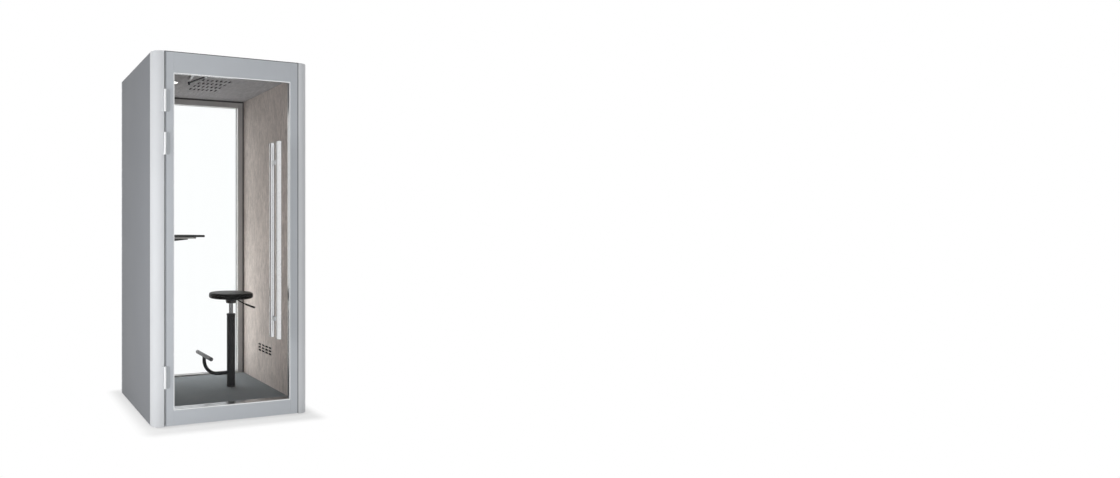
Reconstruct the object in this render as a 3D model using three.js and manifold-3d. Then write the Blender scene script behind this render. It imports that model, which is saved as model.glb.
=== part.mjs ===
// Acoustic office pod: a one-person booth with a glass door, a stool and a small wall table.
// Millimetres, +Z up, door towards -Y. Depths are counted from the outer face of the door;
// each piece is moved by FRONT at the end, so that the pod stands centred on the origin.
import * as THREE from "three";
import { mergeVertices } from "three/addons/utils/BufferGeometryUtils.js";
import Module from "manifold-3d";

const wasm = await Module();
wasm.setup();

// Overall size of the pod
const POD_WIDTH = 1000;
const POD_DEPTH = 980;
const POD_HEIGHT = 2200;
const UNDERSIDE = 10;
// Clearance left between pieces that touch, and in the eye of a pivot
const GAP = 0.3;
// Facets of arcs, of slot ends, of turned pieces, of small rods, and along bent bars
const ARC_STEPS = 8;
const SLOT_STEPS = 4;
const TURN_STEPS = 40;
const ROD_STEPS = 20;
const BAR_STEPS = 24;
// Points closer than this are one point
const SAME_POINT = 1e-3;

// Carcass: corner columns, side walls and the step that the door closes on
const CORNER_RADIUS = 56;
const COLUMN_LEG = 70;
const SKIN = 20;
const WALL_THICKNESS = 90;
const FELT = 12;

// Floor
const FLOOR_TOP = 98;
const CARPET_THICKNESS = 10;
const THRESHOLD_DEPTH = 60;
const THRESHOLD_TOP = 99;
const FOOT_RADIUS = 25;
const FOOT_FROM_SIDE = 50;
const FOOT_FROM_END = 110;

// The stool stands this far in front of the cabin's middle; the other fittings are placed from it
const FITTINGS_FORWARD = 10;

// Ceiling, fan, lamp and roof
const CEILING_DROP = 90;
const ROOF_THICKNESS = 20;
const ROOF_LIP = 3;
const HEADER_DEPTH = 73;
const SLOT_WIDTH = 12;
const CEILING_SLOT_LENGTH = 50;
const CEILING_SLOT_COLUMNS = 7;
const CEILING_SLOT_ROWS = 4;
const CEILING_SLOT_PITCH_X = 30;
const CEILING_SLOT_PITCH_Y = 96;
const GRILLE_FORWARD = 64;
const GRILLE_ASIDE = 13;
const ROOF_SLOT_ROWS = 2;
const ROOF_SLOT_BACK = 220;
const FAN_SIZE = 180;
const FAN_HEIGHT = 38;
const FAN_BORE = 78;
const FAN_FLOOR = 5;
const SPOKE_WIDTH = 8;
const BOSS_RADIUS = 18;
const FAN_PIN = 4;
const FAN_PIN_HEIGHT = 28;
const ROTOR_HUB = 22;
const ROTOR_RISE = 8;
const ROTOR_HEIGHT = 18;
const ROTOR_RADIUS = 71;
const BLADES = 7;
const BLADE_WIDTH = 28;
const BLADE_THICKNESS = 3;
const BLADE_PITCH = 25;
const LAMP_FROM_WALL = 137;
const LAMP_FORWARD = 90;
const LAMP_BODY = 32;
const LAMP_FLANGE = 42;
const LAMP_FLANGE_DROP = 5;
const LAMP_HEIGHT = 40;
const LENS_THICKNESS = 3;

// Vent slots in the side walls
const VENT_COLUMNS = 4;
const VENT_ROWS = 3;
const VENT_LENGTH = 46;
const VENT_HEIGHT = 12;
const VENT_PITCH_Y = 59;
const VENT_PITCH_Z = 20.5;
const VENT_MIDDLE = 334;

// Rear window
const REAR_FRAME_DEPTH = 50;
const REAR_FRAME_RECESS = 40;
const REAR_SIGHT = 45;
const REAR_SILL = 106;
const REAR_GLASS = 8;
const REAR_REVEAL = 22;
const GROOVE = 8;

// Door leaf
const DOOR_GAP = 5;
const DOOR_THICKNESS = 40;
const DOOR_BOTTOM = 14;
const DOOR_TOP_GAP = 4;
const STILE = 50;
const TOP_RAIL = 119;
const BOTTOM_RAIL = 88;
const DOOR_GLASS = 10;
const GLASS_FRONT = 6;
const PROFILE_WALL = 4;
const SEAL_SPACE = 5;
const SEAL_WIDTH = 12;
const SEAL_INSET = 1;
const SEAL_END_INSET = 6;

// Pull handle through the glass
const PULL_FROM_EDGE = 149;
const PULL_RADIUS = 16.5;
const PULL_WALL = 2;
const PULL_LENGTH = 1208;
const PULL_MIDDLE = 1095;
const PULL_REACH = 42.5;
const PULL_BEHIND = 18;
const POST_RADIUS = 10;
const POST_SPACING = 965;
const POST_MIDDLE = 1092;

// Door hinges
const HINGE_HEIGHT = 130;
const HINGE_BARREL = 7;
const HINGE_PIN = 3;
const HINGE_PLATE = 2.5;
const COLUMN_LEAF = 24;
const DOOR_LEAF = 30;
const LEAF_EDGE = 6;
const LEAF_CHAMFER = 8;
const HINGE_TOP_DROP = 290;
const HINGE_MIDDLE_DROP = 540;
const HINGE_LOW_RISE = 299;

// Door closer: places in plan are counted from the hinge axis and the inner face of the door
const SPINDLE = [277.5, 42];
const ELBOW = [227.5, 228];
const SHOE_PIN = [198.5, 22];
const CLOSER_BODY = [210, 50, 48];
const CLOSER_LIFT = 1;
const MAIN_ARM_DROP = 30;
const FOREARM_DROP = 18;
const ARM_THICKNESS = 8;
const MAIN_ARM_WIDTH = 14;
const FOREARM_WIDTH = 18;
const FOREARM_TIP = 11;
const ARM_EYE = 10;
const SPINDLE_EYE = 12;
const SPINDLE_RADIUS = 9;
const ELBOW_PIN = 5;
const ELBOW_KNOB = 7;
const ELBOW_KNOB_LENGTH = 10;
const SHOE_PIN_RADIUS = 4;
const SHOE_WIDTH = 48;
const SHOE_HEIGHT = 28;
const SHOE_PLATE = 4;
const SHOE_LUG = 6;

// Stool
const STOOL_FROM_WALL = 249;
const COLUMN_RADIUS = 28.5;
const COLUMN_TOP = 592;
const ROD_RADIUS = 14;
const ROD_BOTTOM = 300;
const ROD_TOP = 688;
const HUB_BOTTOM = 662;
const HUB_RADIUS = 36;
const HUB_FOOT = 33;
const SEAT_PLATE_RADIUS = 100;
const SEAT_PLATE = 3;
const SEAT_BOTTOM = 696;
const SEAT_RADIUS = 150;
const SEAT_HEIGHT = 42;
const SEAT_SIDE = 38;
const SEAT_ROUND = 22;
const LEVER_PIVOT = 44;
const LEVER_Z = 686;
const LEVER_RADIUS = 4;
const LEVER_BARREL = 6;
const LEVER_PIN = 2.5;
const LEVER_BEND = 84;
const LEVER_BEND_Z = 662;
const LEVER_TIP = 176;
const LEVER_TIP_Z = 623;
const GRIP_RADIUS = 6.5;
const GRIP_START = 106;
const GRIP_START_Z = 650;
const LUG_INSIDE = 7.3;
const LUG_OUTSIDE = 11;
const LUG_HALF = 7;

// Footrest on the stool column
const FOOTREST_ARM = 12;
const FOOTREST_ARM_Z = 191;
const FOOTREST_LEVEL = 96;
const FOOTREST_BEND = 95;
const FOOTREST_Z = 318;
const FOOTREST_BAR = 13;
const FOOTREST_LENGTH = 302;

// Wall table
const TABLE_TOP_Z = 1125;
const TABLE_THICKNESS = 14;
const TABLE_REACH = 322;
const TABLE_WIDTH = 440;
const TABLE_CORNER = 35;
const TABLE_PLATE = 9;
const TABLE_PLATE_REACH = 264;
const TABLE_PLATE_INSET = 8;
const BRACKET_WEB = 10;
const BRACKET_BACK = 5;
const BRACKET_DROP = 25;
const BRACKET_REACH = 203;

// Gland where the supply cable enters at the back
const GLAND_RADIUS = 11;
const GLAND_BORE = 4.5;
const GLAND_LENGTH = 14;
const GLAND_INSET = 65;
const GLAND_Z = 60;

// Places that follow from the sizes above
const HALF = POD_WIDTH / 2;
const FRONT = -(POD_DEPTH - PULL_REACH - PULL_RADIUS) / 2;
const INNER = HALF - WALL_THICKNESS;
const DOOR_STOP = DOOR_THICKNESS + SEAL_SPACE;
const THRESHOLD_BACK = DOOR_STOP + THRESHOLD_DEPTH;
const HEADER_BACK = DOOR_STOP + HEADER_DEPTH;
const CEILING = POD_HEIGHT - CEILING_DROP;
const PULL_INNER = DOOR_THICKNESS + PULL_BEHIND;
const CORE_INNER = INNER + FELT + GAP;
const BETWEEN_CORES = CORE_INNER - 2 * GAP;
const CARPET_BOTTOM = FLOOR_TOP - CARPET_THICKNESS + GAP;
const BASE_TOP = CARPET_BOTTOM - GAP;
const ROOF_BOTTOM = POD_HEIGHT - ROOF_THICKNESS;
const CEILING_TOP = CEILING + FELT;
const REAR_BACK = POD_DEPTH - REAR_FRAME_RECESS;
const REAR_FRONT = REAR_BACK - REAR_FRAME_DEPTH;
const REAR_INNER = INNER - REAR_SIGHT;
const REAR_HEAD = CEILING - REAR_SIGHT;
const CABIN_MIDDLE = (THRESHOLD_BACK + REAR_FRONT) / 2 - FITTINGS_FORWARD;
const DOOR_HALF = HALF - COLUMN_LEG - DOOR_GAP;
const DOOR_TOP = POD_HEIGHT - DOOR_TOP_GAP;
const GLASS_HALF = DOOR_HALF - STILE;
const GLASS_LOW = DOOR_BOTTOM + BOTTOM_RAIL;
const GLASS_HIGH = DOOR_TOP - TOP_RAIL;
const PULL_X = DOOR_HALF - PULL_FROM_EDGE;
const HINGE_X = -(DOOR_HALF + DOOR_GAP / 2);
const HINGE_Y = -HINGE_BARREL - GAP;
const STOOL_X = INNER - STOOL_FROM_WALL;
const GRILLE_Y = CABIN_MIDDLE - GRILLE_FORWARD;
const GRILLE_X = -GRILLE_ASIDE;
const LAMP_X = LAMP_FROM_WALL - INNER;
const LAMP_Y = CABIN_MIDDLE - LAMP_FORWARD;
const FAN_BOTTOM = CEILING_TOP + GAP;
const MAIN_ARM_Z = CEILING - MAIN_ARM_DROP;
const FOREARM_Z = CEILING - FOREARM_DROP;

// Materials
function material(color, roughness, metalness) {
  return new THREE.MeshStandardMaterial({ color, roughness, metalness });
}
const SILVER = material(0xd2d5d8, 0.4, 0.6);
const DOOR_GREY = material(0xb4b8bd, 0.4, 0.5);
const PANEL_GREY = material(0x9a9da1, 0.55, 0);
const CORE_GREY = material(0x55575a, 0.9, 0);
const FELT_GREY = material(0xafa5a0, 0.95, 0);
const CARPET_GREY = material(0x5b6468, 0.95, 0);
const FRAME_GREY = material(0x5a5a5c, 0.5, 0.3);
const POLISHED = material(0xc9ccce, 0.15, 1);
const STAINLESS = material(0xc8c9ca, 0.3, 1);
const CHROME = material(0xdddddd, 0.08, 1);
const GLASS = material(0xdde6e6, 0.05, 0);
const LENS = material(0xfff1d8, 0.3, 0);
const BLACK_METAL = material(0x26272a, 0.45, 0.5);
const BLACK_PLASTIC = material(0x1c1c1e, 0.5, 0);
const BLACK_PAD = material(0x2a2b2d, 0.7, 0);
const RUBBER = material(0x161616, 0.8, 0);
const LIGHT_METAL = material(0xbfc1c3, 0.35, 0.8);

const pod = new THREE.Group();
pod.name = "acoustic_office_pod";

function add(name, geometry, look) {
  const mesh = new THREE.Mesh(geometry, look);
  mesh.name = name;
  mesh.position.y = FRONT;
  pod.add(mesh);
}

// Solid modelling helpers
function solidOf(geometry) {
  const bare = geometry.clone();
  bare.deleteAttribute("normal");
  bare.deleteAttribute("uv");
  const merged = mergeVertices(bare, SAME_POINT);
  const index = merged.index.array;
  const kept = [];
  for (let i = 0; i < index.length; i += 3) {
    const [a, b, c] = [index[i], index[i + 1], index[i + 2]];
    if (a !== b && b !== c && c !== a) kept.push(a, b, c);
  }
  return new wasm.Manifold(
    new wasm.Mesh({
      numProp: 3,
      vertProperties: merged.attributes.position.array,
      triVerts: new Uint32Array(kept),
    }),
  );
}

function geometryOf(solid) {
  const mesh = solid.getMesh();
  const geometry = new THREE.BufferGeometry();
  geometry.setAttribute("position", new THREE.BufferAttribute(mesh.vertProperties, 3));
  geometry.setIndex(new THREE.BufferAttribute(mesh.triVerts, 1));
  geometry.computeVertexNormals();
  return geometry;
}

function cut(base, ...tools) {
  return geometryOf(tools.reduce((rest, tool) => rest.subtract(solidOf(tool)), solidOf(base)));
}

function join(...pieces) {
  return geometryOf(pieces.map(solidOf).reduce((all, piece) => all.add(piece)));
}

// Box between two limits on each axis
function box(x0, x1, y0, y1, z0, z1) {
  const block = new THREE.BoxGeometry(x1 - x0, y1 - y0, z1 - z0);
  return block.translate((x0 + x1) / 2, (y0 + y1) / 2, (z0 + z1) / 2);
}

// Outline through points, always wound the same way so that holes are cut rightly
function polygon(points) {
  const corners = points.map(([x, y]) => new THREE.Vector2(x, y));
  return new THREE.Shape(THREE.ShapeUtils.isClockWise(corners) ? corners.reverse() : corners);
}

// Points of an arc about a centre, from one angle to another in degrees
function arc(centreX, centreY, radius, from, to) {
  const points = [];
  for (let step = 0; step <= ARC_STEPS; step += 1) {
    const angle = THREE.MathUtils.degToRad(from + ((to - from) * step) / ARC_STEPS);
    points.push([centreX + radius * Math.cos(angle), centreY + radius * Math.sin(angle)]);
  }
  return points;
}

// Outline with half-round ends, its length along the first axis
function slotPath(x, y, length, width) {
  const path = new THREE.Path();
  const end = (length - width) / 2;
  path.moveTo(x - end, y - width / 2);
  path.lineTo(x + end, y - width / 2);
  path.absarc(x + end, y, width / 2, -Math.PI / 2, Math.PI / 2);
  path.lineTo(x - end, y + width / 2);
  path.absarc(x - end, y, width / 2, Math.PI / 2, (3 * Math.PI) / 2);
  return path;
}

// Same outline with its length along the second axis
function tallSlotPath(x, y, length, width) {
  const path = new THREE.Path();
  const end = (length - width) / 2;
  path.moveTo(x + width / 2, y - end);
  path.lineTo(x + width / 2, y + end);
  path.absarc(x, y + end, width / 2, 0, Math.PI);
  path.lineTo(x - width / 2, y - end);
  path.absarc(x, y - end, width / 2, Math.PI, 2 * Math.PI);
  return path;
}

function circlePath(x, y, radius) {
  const points = [];
  for (let step = 0; step < TURN_STEPS; step += 1) {
    const angle = (2 * Math.PI * step) / TURN_STEPS;
    points.push(new THREE.Vector2(x + radius * Math.cos(angle), y + radius * Math.sin(angle)));
  }
  return new THREE.Path(points);
}

function extrude(shape, depth, curveSegments) {
  return new THREE.ExtrudeGeometry(shape, { depth, bevelEnabled: false, curveSegments });
}

// Plan outline raised between two heights
function raise(shape, z0, z1, curveSegments = ARC_STEPS) {
  return extrude(shape, z1 - z0, curveSegments).translate(0, 0, z0);
}

// Outline in depth and height, run along the width
function runAcross(shape, x0, x1, curveSegments = ARC_STEPS) {
  const turn = new THREE.Matrix4().makeBasis(
    new THREE.Vector3(0, 1, 0),
    new THREE.Vector3(0, 0, 1),
    new THREE.Vector3(1, 0, 0),
  );
  return extrude(shape, x1 - x0, curveSegments).applyMatrix4(turn).translate(x0, 0, 0);
}

// Outline in width and height, run along the depth
function runBack(shape, y0, y1, curveSegments = ARC_STEPS) {
  return extrude(shape, y1 - y0, curveSegments).rotateX(Math.PI / 2).translate(0, y1, 0);
}

// Profile of radius and height turned about an upright axis
function turned(profile, x, y, steps = TURN_STEPS) {
  const points = profile.map(([r, z]) => new THREE.Vector2(r, z));
  return new THREE.LatheGeometry(points, steps).rotateX(Math.PI / 2).translate(x, y, 0);
}

function rodUp(x, y, z0, z1, radius, steps = ROD_STEPS) {
  const rod = new THREE.CylinderGeometry(radius, radius, z1 - z0, steps);
  return rod.rotateX(Math.PI / 2).translate(x, y, (z0 + z1) / 2);
}

function rodBack(x, z, y0, y1, radius, steps = ROD_STEPS) {
  const rod = new THREE.CylinderGeometry(radius, radius, y1 - y0, steps);
  return rod.translate(x, (y0 + y1) / 2, z);
}

// Round bar along a smooth path through points
function roundBar(points, radius, steps) {
  const ring = new THREE.Shape();
  ring.absarc(0, 0, radius, 0, 2 * Math.PI);
  const path = new THREE.CatmullRomCurve3(points.map((p) => new THREE.Vector3(...p)));
  return new THREE.ExtrudeGeometry(ring, {
    extrudePath: path,
    steps,
    curveSegments: ARC_STEPS,
    bevelEnabled: false,
  });
}

// Flat bar in plan from one point to another, with a width, between two heights
function flatBar([x0, y0], [x1, y1], width, z0, z1) {
  const length = Math.hypot(x1 - x0, y1 - y0);
  const bar = box(0, length, -width / 2, width / 2, z0, z1);
  return bar.rotateZ(Math.atan2(y1 - y0, x1 - x0)).translate(x0, y0, 0);
}

// Flat bar between two places in plan that tapers from one width to another
function taperBar([x0, y0], [x1, y1], startWidth, endWidth, z0, z1) {
  const length = Math.hypot(x1 - x0, y1 - y0);
  const outline = polygon([
    [0, -startWidth / 2],
    [length, -endWidth / 2],
    [length, endWidth / 2],
    [0, startWidth / 2],
  ]);
  const bar = raise(outline, z0, z1);
  return bar.rotateZ(Math.atan2(y1 - y0, x1 - x0)).translate(x0, y0, 0);
}

// Places counted inwards from a pod corner: side is -1 left or 1 right, rear chooses the back
function fromCorner(points, side, rear) {
  return points.map(([u, v]) => [side * (HALF - u), rear ? POD_DEPTH - v : v]);
}

const SIDES = [
  ["left", -1],
  ["right", 1],
];
const ENDS = [
  ["front", false],
  ["rear", true],
];

// Corner columns: angle profiles with a rounded outer corner
const outerArc = arc(CORNER_RADIUS, CORNER_RADIUS, CORNER_RADIUS, 270, 180);
const innerArc = arc(CORNER_RADIUS, CORNER_RADIUS, CORNER_RADIUS - SKIN, 180, 270);
const columnOutline = [
  [COLUMN_LEG, 0],
  ...outerArc,
  [0, COLUMN_LEG],
  [SKIN, COLUMN_LEG],
  ...innerArc,
  [COLUMN_LEG, SKIN],
];
for (const [end, rear] of ENDS) {
  for (const [name, side] of SIDES) {
    const plan = polygon(fromCorner(columnOutline, side, rear));
    add(`column_${end}_${name}`, raise(plan, UNDERSIDE, POD_HEIGHT), SILVER);
  }
}

// Side walls: outer panel, acoustic core and felt lining with vent slots
const coreArc = arc(CORNER_RADIUS, CORNER_RADIUS, CORNER_RADIUS - SKIN - GAP, 180, 270);
const rearArc = coreArc.map(([u, v]) => [u, POD_DEPTH - v]).reverse();
const coreFace = HALF - CORE_INNER;
const coreOutline = [
  ...coreArc,
  [COLUMN_LEG, SKIN + GAP],
  [COLUMN_LEG, DOOR_STOP],
  [coreFace, DOOR_STOP],
  [coreFace, POD_DEPTH - SKIN - GAP],
  ...rearArc,
];
const panelFront = COLUMN_LEG + GAP;
const feltOutline = [
  [DOOR_STOP + GAP, BASE_TOP + GAP],
  [REAR_FRONT - GAP, BASE_TOP + GAP],
  [REAR_FRONT - GAP, ROOF_BOTTOM - GAP],
  [DOOR_STOP + GAP, ROOF_BOTTOM - GAP],
];
for (const [name, side] of SIDES) {
  const panelX = [side * HALF, side * (HALF - SKIN)].sort((a, b) => a - b);
  const panel = box(...panelX, panelFront, POD_DEPTH - panelFront, UNDERSIDE, POD_HEIGHT);
  add(`side_panel_${name}`, panel, PANEL_GREY);
  const core = polygon(fromCorner(coreOutline, side, false));
  add(`wall_core_${name}`, raise(core, UNDERSIDE, ROOF_BOTTOM - GAP), CORE_GREY);
  const felt = polygon(feltOutline);
  for (let row = 0; row < VENT_ROWS; row += 1) {
    for (let column = 0; column < VENT_COLUMNS; column += 1) {
      const y = CABIN_MIDDLE + (column - (VENT_COLUMNS - 1) / 2) * VENT_PITCH_Y;
      const z = VENT_MIDDLE + (row - (VENT_ROWS - 1) / 2) * VENT_PITCH_Z;
      felt.holes.push(slotPath(y, z, VENT_LENGTH, VENT_HEIGHT));
    }
  }
  const feltX = [side * INNER, side * (INNER + FELT)].sort((a, b) => a - b);
  add(`wall_felt_${name}`, runAcross(felt, ...feltX, SLOT_STEPS), FELT_GREY);
}

// Floor: base platform, carpet with a hole for the stool, threshold and levelling feet
const platform = box(
  -BETWEEN_CORES,
  BETWEEN_CORES,
  DOOR_STOP + GAP,
  REAR_FRONT - GAP,
  UNDERSIDE,
  BASE_TOP,
);
add("base_platform", platform, CORE_GREY);
const carpetHalf = INNER - GAP;
const carpet = polygon([
  [-carpetHalf, THRESHOLD_BACK],
  [carpetHalf, THRESHOLD_BACK],
  [carpetHalf, REAR_FRONT - GAP],
  [-carpetHalf, REAR_FRONT - GAP],
]);
carpet.holes.push(circlePath(STOOL_X, CABIN_MIDDLE, COLUMN_RADIUS + GAP));
add("carpet", raise(carpet, CARPET_BOTTOM, FLOOR_TOP), CARPET_GREY);
const threshold = box(
  -carpetHalf,
  carpetHalf,
  DOOR_STOP + GAP,
  THRESHOLD_BACK - GAP,
  CARPET_BOTTOM,
  THRESHOLD_TOP,
);
add("threshold", threshold, POLISHED);
for (const [end, rear] of ENDS) {
  for (const [name, side] of SIDES) {
    const [[x, y]] = fromCorner([[FOOT_FROM_SIDE, FOOT_FROM_END]], side, rear);
    add(`foot_${end}_${name}`, rodUp(x, y, 0, UNDERSIDE - GAP, FOOT_RADIUS, TURN_STEPS), RUBBER);
  }
}

// Rear window: grooved frame members and a fixed pane
const rearGlassFront = REAR_FRONT + REAR_REVEAL;
const rearGlassBack = rearGlassFront + REAR_GLASS;
for (const [name, side] of SIDES) {
  const member = polygon(
    [
      [REAR_INNER, REAR_FRONT],
      [BETWEEN_CORES, REAR_FRONT],
      [BETWEEN_CORES, REAR_BACK],
      [REAR_INNER, REAR_BACK],
      [REAR_INNER, rearGlassBack + GAP],
      [REAR_INNER + GROOVE, rearGlassBack + GAP],
      [REAR_INNER + GROOVE, rearGlassFront - GAP],
      [REAR_INNER, rearGlassFront - GAP],
    ].map(([x, y]) => [side * x, y]),
  );
  add(`rear_stile_${name}`, raise(member, UNDERSIDE, ROOF_BOTTOM - GAP), FRAME_GREY);
}
// Grooved member outline in depth and height: edge is the side next to the glass
function rearRail(edge, far, direction) {
  const bottom = edge + direction * GROOVE;
  return polygon([
    [REAR_FRONT, edge],
    [rearGlassFront - GAP, edge],
    [rearGlassFront - GAP, bottom],
    [rearGlassBack + GAP, bottom],
    [rearGlassBack + GAP, edge],
    [REAR_BACK, edge],
    [REAR_BACK, far],
    [REAR_FRONT, far],
  ]);
}
const railEnd = REAR_INNER - GAP;
const headRail = rearRail(REAR_HEAD, ROOF_BOTTOM - GAP, 1);
add("rear_rail_top", runAcross(headRail, -railEnd, railEnd), FRAME_GREY);
const sillRail = rearRail(REAR_SILL, UNDERSIDE, -1);
add("rear_rail_bottom", runAcross(sillRail, -railEnd, railEnd), FRAME_GREY);
const rearPaneHalf = REAR_INNER + GROOVE - GAP;
const rearPane = box(
  -rearPaneHalf,
  rearPaneHalf,
  rearGlassFront,
  rearGlassBack,
  REAR_SILL - GROOVE + GAP,
  REAR_HEAD + GROOVE - GAP,
);
add("rear_glass", rearPane, GLASS);

// Gland for the supply cable, low on the rear sill
const gland = turned(
  [
    [GLAND_BORE, 0],
    [GLAND_RADIUS, 0],
    [GLAND_RADIUS, GLAND_LENGTH],
    [GLAND_BORE, GLAND_LENGTH],
    [GLAND_BORE, 0],
  ],
  0,
  0,
  ROD_STEPS,
);
gland.rotateX(-Math.PI / 2).translate(REAR_INNER - GLAND_INSET, REAR_BACK + GAP, GLAND_Z);
add("cable_gland", gland, RUBBER);

// Roof panel: set between columns and side panels, with outlet slots towards the back and a thin
// lip over the top of the door
const roofNotch = HALF - COLUMN_LEG - GAP;
const roof = polygon([
  ...fromCorner([...rearArc, ...coreArc], -1, false),
  [-roofNotch, SKIN + GAP],
  [-roofNotch, DOOR_STOP + GAP],
  [roofNotch, DOOR_STOP + GAP],
  [roofNotch, SKIN + GAP],
  ...fromCorner([...coreArc].reverse(), 1, false),
  ...fromCorner([...rearArc].reverse(), 1, false),
]);
function grille(shape, x, y, rows) {
  for (let row = 0; row < rows; row += 1) {
    for (let column = 0; column < CEILING_SLOT_COLUMNS; column += 1) {
      const slotX = x + (column - (CEILING_SLOT_COLUMNS - 1) / 2) * CEILING_SLOT_PITCH_X;
      const slotY = y + (row - (rows - 1) / 2) * CEILING_SLOT_PITCH_Y;
      shape.holes.push(tallSlotPath(slotX, slotY, CEILING_SLOT_LENGTH, SLOT_WIDTH));
    }
  }
}
grille(roof, 0, POD_DEPTH - ROOF_SLOT_BACK, ROOF_SLOT_ROWS);
const roofLip = box(
  -roofNotch,
  roofNotch,
  0,
  DOOR_STOP + SKIN,
  POD_HEIGHT - ROOF_LIP,
  POD_HEIGHT,
);
const roofPanel = join(raise(roof, ROOF_BOTTOM, POD_HEIGHT, SLOT_STEPS), roofLip);
add("roof_panel", roofPanel, FRAME_GREY);

// Front header with a pocket for the closer body
function closerPlace([fromHinge, fromDoor]) {
  return [HINGE_X + fromHinge, DOOR_THICKNESS + fromDoor];
}
const spindle = closerPlace(SPINDLE);
const elbow = closerPlace(ELBOW);
const shoePin = closerPlace(SHOE_PIN);
const [closerX, closerY] = spindle;
const bodyBottom = CEILING + CLOSER_LIFT;
function closerBox(bottom, grow) {
  return box(
    closerX - CLOSER_BODY[0] / 2 - grow,
    closerX + CLOSER_BODY[0] / 2 + grow,
    closerY - CLOSER_BODY[1] / 2 - grow,
    closerY + CLOSER_BODY[1] / 2 + grow,
    bottom,
    bodyBottom + CLOSER_BODY[2] + grow,
  );
}
const header = box(
  -BETWEEN_CORES + FELT,
  BETWEEN_CORES - FELT,
  DOOR_STOP + GAP,
  HEADER_BACK - GAP,
  CEILING,
  ROOF_BOTTOM - GAP,
);
add("front_header", cut(header, closerBox(CEILING - CLOSER_LIFT, GAP)), FELT_GREY);
add("closer_body", closerBox(bodyBottom, 0), BLACK_METAL);

// Felt ceiling with the fan grille and a hole for the lamp
const fanAxis = [GRILLE_X, GRILLE_Y];
const ceiling = polygon([
  [-carpetHalf, HEADER_BACK],
  [carpetHalf, HEADER_BACK],
  [carpetHalf, REAR_FRONT - GAP],
  [-carpetHalf, REAR_FRONT - GAP],
]);
grille(ceiling, ...fanAxis, CEILING_SLOT_ROWS);
ceiling.holes.push(circlePath(LAMP_X, LAMP_Y, LAMP_BODY + GAP));
add("ceiling_felt", raise(ceiling, CEILING, CEILING_TOP, SLOT_STEPS), FELT_GREY);

// Fan above the grille: square housing with spokes and a pin, and a bladed rotor
const fanSquare = FAN_SIZE / 2;
const fanLeft = GRILLE_X - fanSquare;
const fanRight = GRILLE_X + fanSquare;
const fanFront = GRILLE_Y - fanSquare;
const fanBack = GRILLE_Y + fanSquare;
const fanFrame = polygon([
  [fanLeft, fanFront],
  [fanRight, fanFront],
  [fanRight, fanBack],
  [fanLeft, fanBack],
]);
fanFrame.holes.push(circlePath(...fanAxis, FAN_BORE));
const fanTopOfFloor = FAN_BOTTOM + FAN_FLOOR;
const fanHousing = join(
  raise(fanFrame, FAN_BOTTOM, FAN_BOTTOM + FAN_HEIGHT),
  rodUp(...fanAxis, FAN_BOTTOM, fanTopOfFloor, BOSS_RADIUS),
  flatBar([fanLeft, GRILLE_Y], [fanRight, GRILLE_Y], SPOKE_WIDTH, FAN_BOTTOM, fanTopOfFloor),
  flatBar([GRILLE_X, fanFront], [GRILLE_X, fanBack], SPOKE_WIDTH, FAN_BOTTOM, fanTopOfFloor),
  rodUp(...fanAxis, FAN_BOTTOM, FAN_BOTTOM + FAN_PIN_HEIGHT, FAN_PIN),
);
add("fan_housing", fanHousing, BLACK_PLASTIC);
const rotorBottom = FAN_BOTTOM + ROTOR_RISE;
const rotorPieces = [rodUp(...fanAxis, rotorBottom, rotorBottom + ROTOR_HEIGHT, ROTOR_HUB)];
for (let blade = 0; blade < BLADES; blade += 1) {
  const wing = box(
    ROTOR_HUB / 2,
    ROTOR_RADIUS,
    -BLADE_WIDTH / 2,
    BLADE_WIDTH / 2,
    -BLADE_THICKNESS / 2,
    BLADE_THICKNESS / 2,
  );
  wing.rotateX(THREE.MathUtils.degToRad(BLADE_PITCH));
  wing.rotateZ((2 * Math.PI * blade) / BLADES);
  rotorPieces.push(wing.translate(...fanAxis, rotorBottom + ROTOR_HEIGHT / 2));
}
const rotorBore = rodUp(...fanAxis, FAN_BOTTOM, FAN_BOTTOM + FAN_HEIGHT, FAN_PIN + GAP);
add("fan_rotor", cut(join(...rotorPieces), rotorBore), BLACK_PLASTIC);

// Ceiling lamp: a cup with a flange under the felt, and a lens in its mouth
const lampMouth = CEILING - GAP - LAMP_FLANGE_DROP;
const lensRadius = LAMP_BODY - 2 * GAP;
const lampHousing = turned(
  [
    [0, lampMouth + LENS_THICKNESS + GAP],
    [lensRadius + GAP, lampMouth + LENS_THICKNESS + GAP],
    [lensRadius + GAP, lampMouth],
    [LAMP_FLANGE, lampMouth],
    [LAMP_FLANGE, CEILING - GAP],
    [LAMP_BODY, CEILING - GAP],
    [LAMP_BODY, CEILING - GAP + LAMP_HEIGHT],
    [0, CEILING - GAP + LAMP_HEIGHT],
  ],
  LAMP_X,
  LAMP_Y,
);
add("lamp_housing", lampHousing, LIGHT_METAL);
const lens = rodUp(LAMP_X, LAMP_Y, lampMouth, lampMouth + LENS_THICKNESS, lensRadius, TURN_STEPS);
add("lamp_lens", lens, LENS);

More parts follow.
